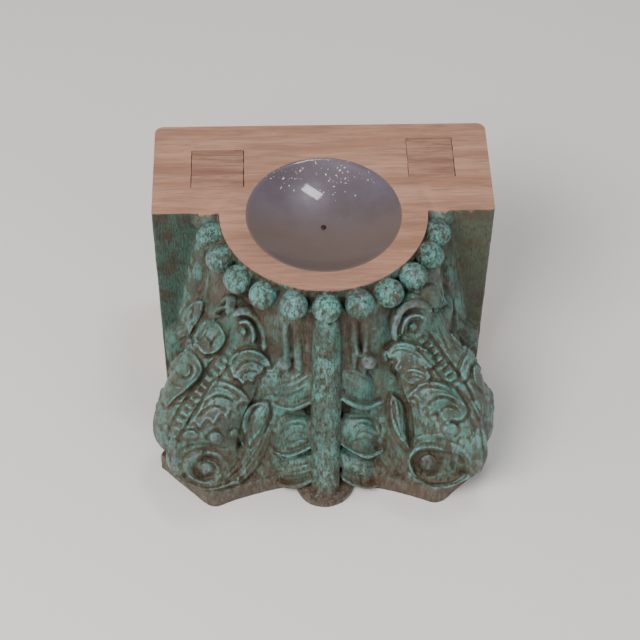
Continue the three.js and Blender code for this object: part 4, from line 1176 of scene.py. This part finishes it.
def masks(data, mm):
    """Where the paint is: values per point for the shader."""
    x, y, z = mm.T
    radius = np.hypot(x, y)
    top = (z > HEIGHT - 0.4) & ((y > -3) | (radius < NECK_RADIUS + 1.5))
    back = np.clip((y - 2.0) / 3.0, 0, 1)
    slab_front = (np.abs(y) < 1.6) & (radius > NECK_RADIUS + 2)
    bead = np.min(np.linalg.norm(mm[:, None] - bead_centres()[None], axis=2), 1)
    bead = np.clip((BEAD_RADIUS + 1.2 - bead) / 1.0, 0, 1)
    rod = np.clip((STEM_RADIUS + 1.6 - np.abs(x)) / 1.5, 0, 1) * (y < -ROD_FRONT)
    ground = NECK_RADIUS + BELL_SWELL * np.clip(1 - z / LEAF_RISE, 0, 1) * 1.1 + 3 + BELL_FILL
    bell = np.clip((ground + BELL_MARGIN - radius) / 5, 0, 1) * (y < -1.5) * (z < LEAF_RISE + 6)
    tier = np.clip((TIER_HALF_WIDTH - np.abs(x)) / 4, 0, 1) * np.clip((TIER_TOP - z) / 6, 0, 1)
    tier = tier * (z > TIER_FOOT) * (y < -TIER_FRONT) * (1 - rod)
    for name, values in (("top", top), ("bare", back), ("slab_front", slab_front), ("bead", bead),
                         ("rod", rod), ("bell", bell), ("tier", tier)):
        give(data, name, values)


# Materials

class Nodes:
    """A material, its node tree built up from small steps."""

    def __init__(self, name):
        self.material = bpy.data.materials.new(name)
        self.material.use_nodes = True
        self.tree = self.material.node_tree
        self.tree.nodes.clear()
        self.shader = self.new("ShaderNodeBsdfPrincipled")
        self.put(self.new("ShaderNodeOutputMaterial").inputs["Surface"], self.shader.outputs[0])

    def new(self, kind, **settings):
        node = self.tree.nodes.new(kind)
        for key, value in settings.items():
            setattr(node, key, value)
        return node

    def put(self, socket, value):
        if isinstance(value, bpy.types.NodeSocket):
            self.tree.links.new(value, socket)
        elif isinstance(value, tuple) and len(value) == 3 and socket.type == "RGBA":
            socket.default_value = (*value, 1)
        else:
            socket.default_value = value

    def look(self, name, value):
        """One input of the shader."""
        self.put(self.shader.inputs[name], value)

    def math(self, operation, a, b=0.0):
        node = self.new("ShaderNodeMath", operation=operation)
        self.put(node.inputs[0], a)
        self.put(node.inputs[1], b)
        return node.outputs[0]

    def mul(self, a, b):
        return self.math("MULTIPLY", a, b)

    def plus(self, a, b):
        return self.math("ADD", a, b)

    def larger(self, a, b):
        return self.math("MAXIMUM", a, b)

    def ramp(self, value, low, high, a=0.0, b=1.0):
        node = self.new("ShaderNodeMapRange", interpolation_type="SMOOTHSTEP")
        self.put(node.inputs["Value"], value)
        for key, number in (("From Min", low), ("From Max", high), ("To Min", a), ("To Max", b)):
            node.inputs[key].default_value = number
        return node.outputs["Result"]

    def mix(self, factor, a, b):
        # The inputs and the output that hold colours are only told apart by their number
        node = self.new("ShaderNodeMix", data_type="RGBA")
        self.put(node.inputs[0], factor)
        self.put(node.inputs[6], a)
        self.put(node.inputs[7], b)
        return node.outputs[2]

    def attribute(self, name):
        return self.new("ShaderNodeAttribute", attribute_name=name).outputs["Fac"]

    def place(self):
        return self.new("ShaderNodeTexCoord").outputs["Object"]

    def split(self, vector):
        node = self.new("ShaderNodeSeparateXYZ")
        self.put(node.inputs[0], vector)
        return node.outputs

    def scaled(self, vector, size, offset=(0, 0, 0)):
        node = self.new("ShaderNodeMapping")
        self.put(node.inputs["Vector"], vector)
        node.inputs["Scale"].default_value = size
        node.inputs["Location"].default_value = offset
        return node.outputs[0]

    def noise(self, vector, scale, detail, rough, twist=0.0):
        node = self.new("ShaderNodeTexNoise")
        self.put(node.inputs["Vector"], vector)
        for key, number in (("Scale", scale), ("Detail", detail), ("Roughness", rough),
                            ("Distortion", twist)):
            node.inputs[key].default_value = number
        return node.outputs["Fac"]

    def bump(self, height, distance, strength):
        node = self.new("ShaderNodeBump")
        node.inputs["Distance"].default_value = distance
        node.inputs["Strength"].default_value = strength
        self.put(node.inputs["Height"], height)
        return node.outputs["Normal"]


def tone(r, g, b):
    """A colour given as it looks on a screen, 0 to 255."""
    def one(v):
        v /= 255
        return v / 12.92 if v <= 0.04045 else ((v + 0.055) / 1.055) ** 2.4
    return (one(r), one(g), one(b))


def sawn_wood(n, where, light, dark, streak):
    """Bare wood with its grain along X: long streaks, fine pores and patches."""
    broad = n.noise(n.scaled(where, (7, 55, 380)), 1.0, 5, 0.68, 0.4)
    fine = n.noise(n.scaled(where, (30, 420, 900)), 1.0, 3, 0.7)
    pores = n.noise(n.scaled(where, (60, 1300, 1300)), 1.0, 2, 0.6)
    patch = n.noise(where, 14, 4, 0.6)
    colour = n.mix(n.ramp(broad, 0.35, 0.68), light, dark)
    colour = n.mix(n.mul(n.ramp(fine, 0.42, 0.7), 0.6), colour, streak)
    colour = n.mix(n.mul(n.ramp(patch, 0.45, 0.75), 0.22), colour, streak)
    return colour, n.plus(n.mul(fine, 0.6), n.mul(pores, 0.4))


def carved_material():
    n = Nodes("carved_wood_finish")
    where = n.place()
    across, _, up = n.split(where)
    ridge, hollow, top, bare, bead, rod, tier, bell, slab_front = (n.attribute(name) for name in (
        "ridge", "hollow", "top", "bare", "bead", "rod", "tier", "bell", "slab_front"))
    wood, grain = sawn_wood(n, where, tone(180, 136, 112), tone(150, 104, 82), tone(124, 98, 84))
    # Paint: turquoise over dark green, worn along the grain down to brown wood
    coarse = n.noise(where, 26, 5, 0.6, 0.4)
    middle = n.noise(n.scaled(where, (1, 1, 0.35), (0.3, 0.1, 0.7)), 230, 7, 0.7, 0.5)
    small = n.noise(n.scaled(where, (1, 1, 0.3), (0.9, 0.2, 0.4)), 700, 5, 0.72)
    patina = n.noise(n.scaled(where, (1, 1, 1), (2.3, 1.1, 0.6)), 46, 5, 0.62)
    streak = n.noise(n.scaled(where, (1, 1, 0.12), (1.3, 2.2, 0.4)), 760, 4, 0.72)
    turquoise = n.mix(n.ramp(coarse, 0.35, 0.65), tone(62, 108, 98), tone(94, 148, 138))
    dark_green = n.mix(n.ramp(middle, 0.35, 0.65), tone(54, 66, 54), tone(76, 94, 80))
    mottled = n.plus(n.mul(patina, 0.6), n.mul(middle, 0.4))
    paint = n.mix(n.ramp(mottled, 0.44, 0.54), turquoise, dark_green)
    # Painted sheen: a lilac-grey highlight laid over the paint on raised parts
    lilac_sheen = n.mix(n.ramp(middle, 0.4, 0.62), tone(118, 134, 144), tone(128, 112, 120))
    raised = n.ramp(hollow, -0.1, -1.0)
    paint = n.mix(n.mul(n.mul(raised, n.ramp(coarse, 0.42, 0.58)), 0.7), paint, lilac_sheen)
    red_wood = n.mix(n.ramp(small, 0.35, 0.65), tone(136, 88, 60), tone(96, 62, 44))
    # Dark brown for grime and worn-through wood, and for the painted shade in the hollows
    grime_and_hollow_shade = n.mix(n.ramp(middle, 0.38, 0.66), tone(96, 84, 66), tone(60, 52, 42))
    wear = n.plus(n.mul(middle, 0.6), n.mul(small, 0.4))
    low = n.ramp(up, 0.080, 0.015)
    # Brown wood shows through in streaks, more of it low down and less of it on beads and tiers
    streaks = n.plus(n.mul(streak, 0.45), n.mul(wear, 0.55))
    kept = n.mul(n.plus(bead, n.mul(tier, 0.6)), -0.035)
    brown = n.ramp(n.plus(streaks, n.plus(n.mul(low, 0.07), kept)), 0.45, 0.60)
    colour = n.mix(n.mul(brown, 0.85), paint, grime_and_hollow_shade)
    rubbed = n.plus(wear, n.mul(n.ramp(ridge, 0.12, 0.5), 0.05))
    worn = n.ramp(n.plus(rubbed, n.mul(low, 0.04)), 0.55, 0.63)
    colour = n.mix(n.mul(worn, 0.65), colour, red_wood)
    # Painted shade: the hollows are darkened, together with random grime patches
    shade_and_grime_in_hollows = n.ramp(n.plus(hollow, n.mul(wear, 0.9)), 0.42, 0.95)
    colour = n.mix(n.mul(shade_and_grime_in_hollows, 0.92), colour, grime_and_hollow_shade)
    # Brighter paint on beads, rod and tiers, and a painted highlight of bright turquoise on ridges
    ridge_highlight = n.mul(n.ramp(ridge, 0.12, 0.4), n.ramp(small, 0.62, 0.46))
    on_beads = n.mul(n.plus(bead, n.mul(rod, 0.45)), n.ramp(wear, 0.54, 0.44, 0.0, 0.6))
    on_tiers = n.mul(tier, n.ramp(streak, 0.56, 0.46, 0.0, 0.28))
    bright_paint_and_ridge_highlight = n.larger(n.larger(ridge_highlight, on_beads), on_tiers)
    colour = n.mix(n.mul(bright_paint_and_ridge_highlight, 0.8), colour, tone(112, 176, 168))
    # Cracks in the paint of the beads and the rod
    crack_field = n.noise(n.scaled(where, (1, 1, 0.4), (3.1, 0.2, 1.4)), 230, 3, 0.6, 0.6)
    cracks = n.ramp(n.math("ABSOLUTE", n.plus(crack_field, -0.5)), 0.016, 0.004)
    cracks = n.mul(cracks, n.larger(bead, rod))
    colour = n.mix(n.mul(cracks, 0.9), colour, tone(40, 34, 30))
    bell_grime = n.mix(n.ramp(streak, 0.4, 0.6), tone(86, 72, 55), tone(56, 46, 36))
    colour = n.mix(n.mul(bell, n.ramp(patina, 0.36, 0.49, 0.6, 0.95)), colour, bell_grime)
    # The slab's front beside the neck
    blotches = n.ramp(n.plus(n.mul(wear, 0.5), n.mul(streak, 0.5)), 0.44, 0.56)
    beside_neck = n.mix(blotches, tone(37, 56, 46), tone(74, 57, 42))
    greener = n.mul(n.ramp(patina, 0.6, 0.48), n.ramp(small, 0.6, 0.46))
    beside_neck = n.mix(greener, beside_neck, tone(54, 92, 79))
    beside_neck = n.mix(n.mul(n.ramp(across, -0.05, 0.05), 0.4), beside_neck, tone(108, 96, 72))
    colour = n.mix(slab_front, colour, beside_neck)
    # Worn wood along the abacus
    scuffs = n.mul(n.ramp(up, 0.026, 0.012), n.ramp(middle, 0.6, 0.42, 0.25, 0.8))
    colour = n.mix(scuffs, colour, n.mix(n.ramp(streak, 0.4, 0.6), tone(112, 80, 58), tone(66, 54, 42)))
    is_bare = n.larger(top, bare)
    n.look("Base Color", n.mix(is_bare, colour, wood))
    n.look("Roughness", n.larger(n.ramp(wear, 0.35, 0.65, 0.30, 0.56), n.mul(is_bare, 0.68)))
    flakes = n.plus(n.mul(worn, -0.5), n.mul(small, 0.5))
    flakes = n.plus(flakes, n.plus(n.mul(streak, 0.9), n.mul(cracks, -0.8)))
    n.look("Normal", n.bump(n.mix(is_bare, flakes, n.mul(grain, 0.35)), 0.0012, 0.95))
    return n.material


def dish_material():
    n = Nodes("dish_glaze_finish")
    where = n.place()
    forward = n.split(where)[1]
    cloud = n.noise(where, 22, 4, 0.6)
    colour = n.mix(n.ramp(cloud, 0.35, 0.7), tone(102, 92, 104), tone(86, 76, 82))
    # Painted reflection: greyer towards the back and browner towards the front, as the sky's reflection
    # falls in the dish
    reflection_fade = n.ramp(forward, 0.06, 0.0)
    colour = n.mix(n.mul(reflection_fade, 0.7), colour, tone(112, 92, 78))
    # Painted glints: pale specks, in patches that grow towards the back
    glint_speck = n.noise(where, 420, 2, 0.5)
    glint_spread = n.ramp(forward, 0.02, 0.09, -0.3, 0.05)
    patch = n.ramp(n.plus(n.noise(where, 60, 2, 0.5), glint_spread), 0.46, 0.5)
    colour = n.mix(n.mul(n.ramp(glint_speck, 0.66, 0.69), patch), colour, tone(214, 204, 196))
    n.look("Base Color", colour)
    n.look("Metallic", 0.25)
    n.look("Coat Weight", 0.6)
    n.look("Coat Roughness", 0.06)
    n.look("Roughness", n.ramp(cloud, 0.3, 0.7, 0.34, 0.46))
    n.look("Normal", n.bump(n.noise(where, 60, 3, 0.5), 0.0003, 0.25))
    return n.material


def plug_material():
    n = Nodes("plug_wood_finish")
    where = n.scaled(n.place(), (1, 1, 1), (0.2, 0.4, 0.1))
    wood, grain = sawn_wood(n, where, tone(172, 130, 108), tone(132, 92, 76), tone(104, 70, 56))
    n.look("Base Color", wood)
    n.look("Roughness", 0.68)
    n.look("Normal", n.bump(grain, 0.0004, 0.8))
    return n.material


def iron_material():
    n = Nodes("nail_iron_finish")
    rust = n.noise(n.place(), 500, 4, 0.6)
    n.look("Base Color", n.mix(n.ramp(rust, 0.4, 0.65), tone(40, 36, 34), tone(92, 58, 38)))
    n.look("Metallic", 0.7)
    n.look("Roughness", 0.55)
    n.look("Normal", n.bump(rust, 0.0002, 0.8))
    return n.material


def floor_material():
    n = Nodes("floor_finish")
    n.look("Base Color", tone(234, 232, 228))
    n.look("Roughness", 0.8)
    return n.material


# The pieces

def dish_piece():
    edge = DISH_RADIUS + DISH_WALL
    outer = dish_profile(edge, DISH_DEPTH + DISH_WALL, 40)
    inner = dish_profile(DISH_RADIUS, DISH_DEPTH, 40)[::-1]
    rim = [(edge, HEIGHT - 0.5), (DISH_RADIUS + DISH_WALL * 0.8, HEIGHT - 0.15),
           (DISH_RADIUS + DISH_WALL * 0.3, HEIGHT - 0.1)]
    forms = Forms()
    turned(forms, outer[:-1] + rim + inner[1:], 192, centre=(0.0, -DISH_FORWARD))
    piece = forms.mesh("candle_dish_turned")
    # The hole for the nail
    hole, low, high = NAIL_RADIUS + 0.3, 180, 240
    cut = Forms()
    turned(cut, [(0, low), (hole, low), (hole, high), (0, high)], 24, centre=(0.0, -DISH_FORWARD))
    cut_away(piece, cut)
    smooth(piece.data, SHARP_DISH)
    return piece


def nail_piece():
    forms = Forms()
    floor = HEIGHT - DISH_DEPTH
    swept(forms, [(0, -DISH_FORWARD, floor + height) for height in NAIL_HEIGHTS],
          NAIL_RADIUS, NAIL_RADIUS, FRONT, ends=(0.05, 0.02), step=0.4)
    ball(forms, (0, -DISH_FORWARD, floor + NAIL_HEAD_HEIGHT), NAIL_HEAD, UP)
    piece = forms.mesh("dish_nail_forged")
    piece.data.shade_smooth()
    return piece


def plug_piece(name, size, sink):
    w, d = size["width"] / 2, size["depth"] / 2
    x, y = size["x"], size["y"]
    outline = [(x - w, y - d), (x + w, y - d), (x + w, y + d), (x - w, y + d)]
    forms = Forms()
    prism(forms, outline, HEIGHT - PLUG_DEPTH, HEIGHT - sink)
    piece = forms.mesh(name)
    apply_modifier(piece, "BEVEL", width=PLUG_BEVEL * MM, segments=2, limit_method="ANGLE")
    smooth(piece.data, SHARP_PLUG)
    return piece


carved = carve_block()
dish = dish_piece()
nail = nail_piece()
left_plug = plug_piece("left_plug_cut", LEFT_PLUG, LEFT_SINK)
right_plug = plug_piece("right_plug_cut", RIGHT_PLUG, RIGHT_SINK)

parts = [
    (carved, "capital_block", "carved_wood", carved_material()),
    (dish, "candle_dish", "dish_glaze", dish_material()),
    (nail, "dish_nail", "nail_iron", iron_material()),
    (left_plug, "left_mortise_plug", "plug_wood", plug_material()),
    (right_plug, "right_mortise_plug", "plug_wood", plug_material()),
]
for piece, node, slot_name, material in parts:
    piece.data.materials.clear()
    piece.data.materials.append(material)
    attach(piece, "root")
    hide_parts(node)


# Floor, light and camera

# Each light's name, place, aim, size in metres, power and colour
LIGHTS = (
    ("key", (-0.8, -1.0, 1.75), (0, 0, 0.1), (1.1, 0.8), 38, (1.0, 0.98, 0.95)),
    ("fill", (1.2, -1.4, 1.2), (0, 0, 0.1), (1.8, 1.4), 9, (0.95, 0.98, 1.0)),
    ("side", (-1.8, -0.7, 0.9), (0, 0, 0.1), (1.2, 1.2), 6, (1.0, 0.98, 0.96)),
    ("window", (0.26, 0.36, 1.98), (0, 0, 0.2), (0.42, 0.2), 7, (1.0, 1.0, 1.0)),
)
SKY_COLOUR = (0.92, 0.94, 0.96, 1)
SKY_STRENGTH = 0.41


def floor():
    data = bpy.data.meshes.new("floor")
    half = 4.0
    corners = [(-half, -half, 0), (half, -half, 0), (half, half, 0), (-half, half, 0)]
    data.from_pydata(corners, [], [(0, 1, 2, 3)])
    piece = bpy.data.objects.new("floor", data)
    bpy.context.scene.collection.objects.link(piece)
    data.materials.append(floor_material())


def area_light(name, place, target, size, power, colour):
    light = bpy.data.lights.new(name, "AREA")
    light.shape = "RECTANGLE"
    light.size, light.size_y = size
    light.energy = power
    light.color = colour
    piece = bpy.data.objects.new(name, light)
    bpy.context.scene.collection.objects.link(piece)
    piece.location = place
    piece.rotation_euler = (Vector(target) - Vector(place)).to_track_quat("-Z", "Y").to_euler()


def camera():
    right, up, back = camera_axes()
    place = (CAMERA_TARGET + back * CAMERA_DISTANCE + [0, AXIS_Y, 0]) * MM
    data = bpy.data.cameras.new("camera")
    data.sensor_width = 36.0
    data.lens = data.sensor_width * LENS_PIXELS / FRAME_PIXELS
    piece = bpy.data.objects.new("camera", data)
    bpy.context.scene.collection.objects.link(piece)
    piece.matrix_world = Matrix((
        (right[0], up[0], back[0], place[0]), (right[1], up[1], back[1], place[1]),
        (right[2], up[2], back[2], place[2]), (0, 0, 0, 1)))
    bpy.context.scene.camera = piece


floor()
for light in LIGHTS:
    area_light(*light)
world = bpy.data.worlds.new("world")
bpy.context.scene.world = world
world.use_nodes = True
sky = world.node_tree.nodes["Background"]
sky.inputs[0].default_value = SKY_COLOUR
sky.inputs[1].default_value = SKY_STRENGTH
camera()
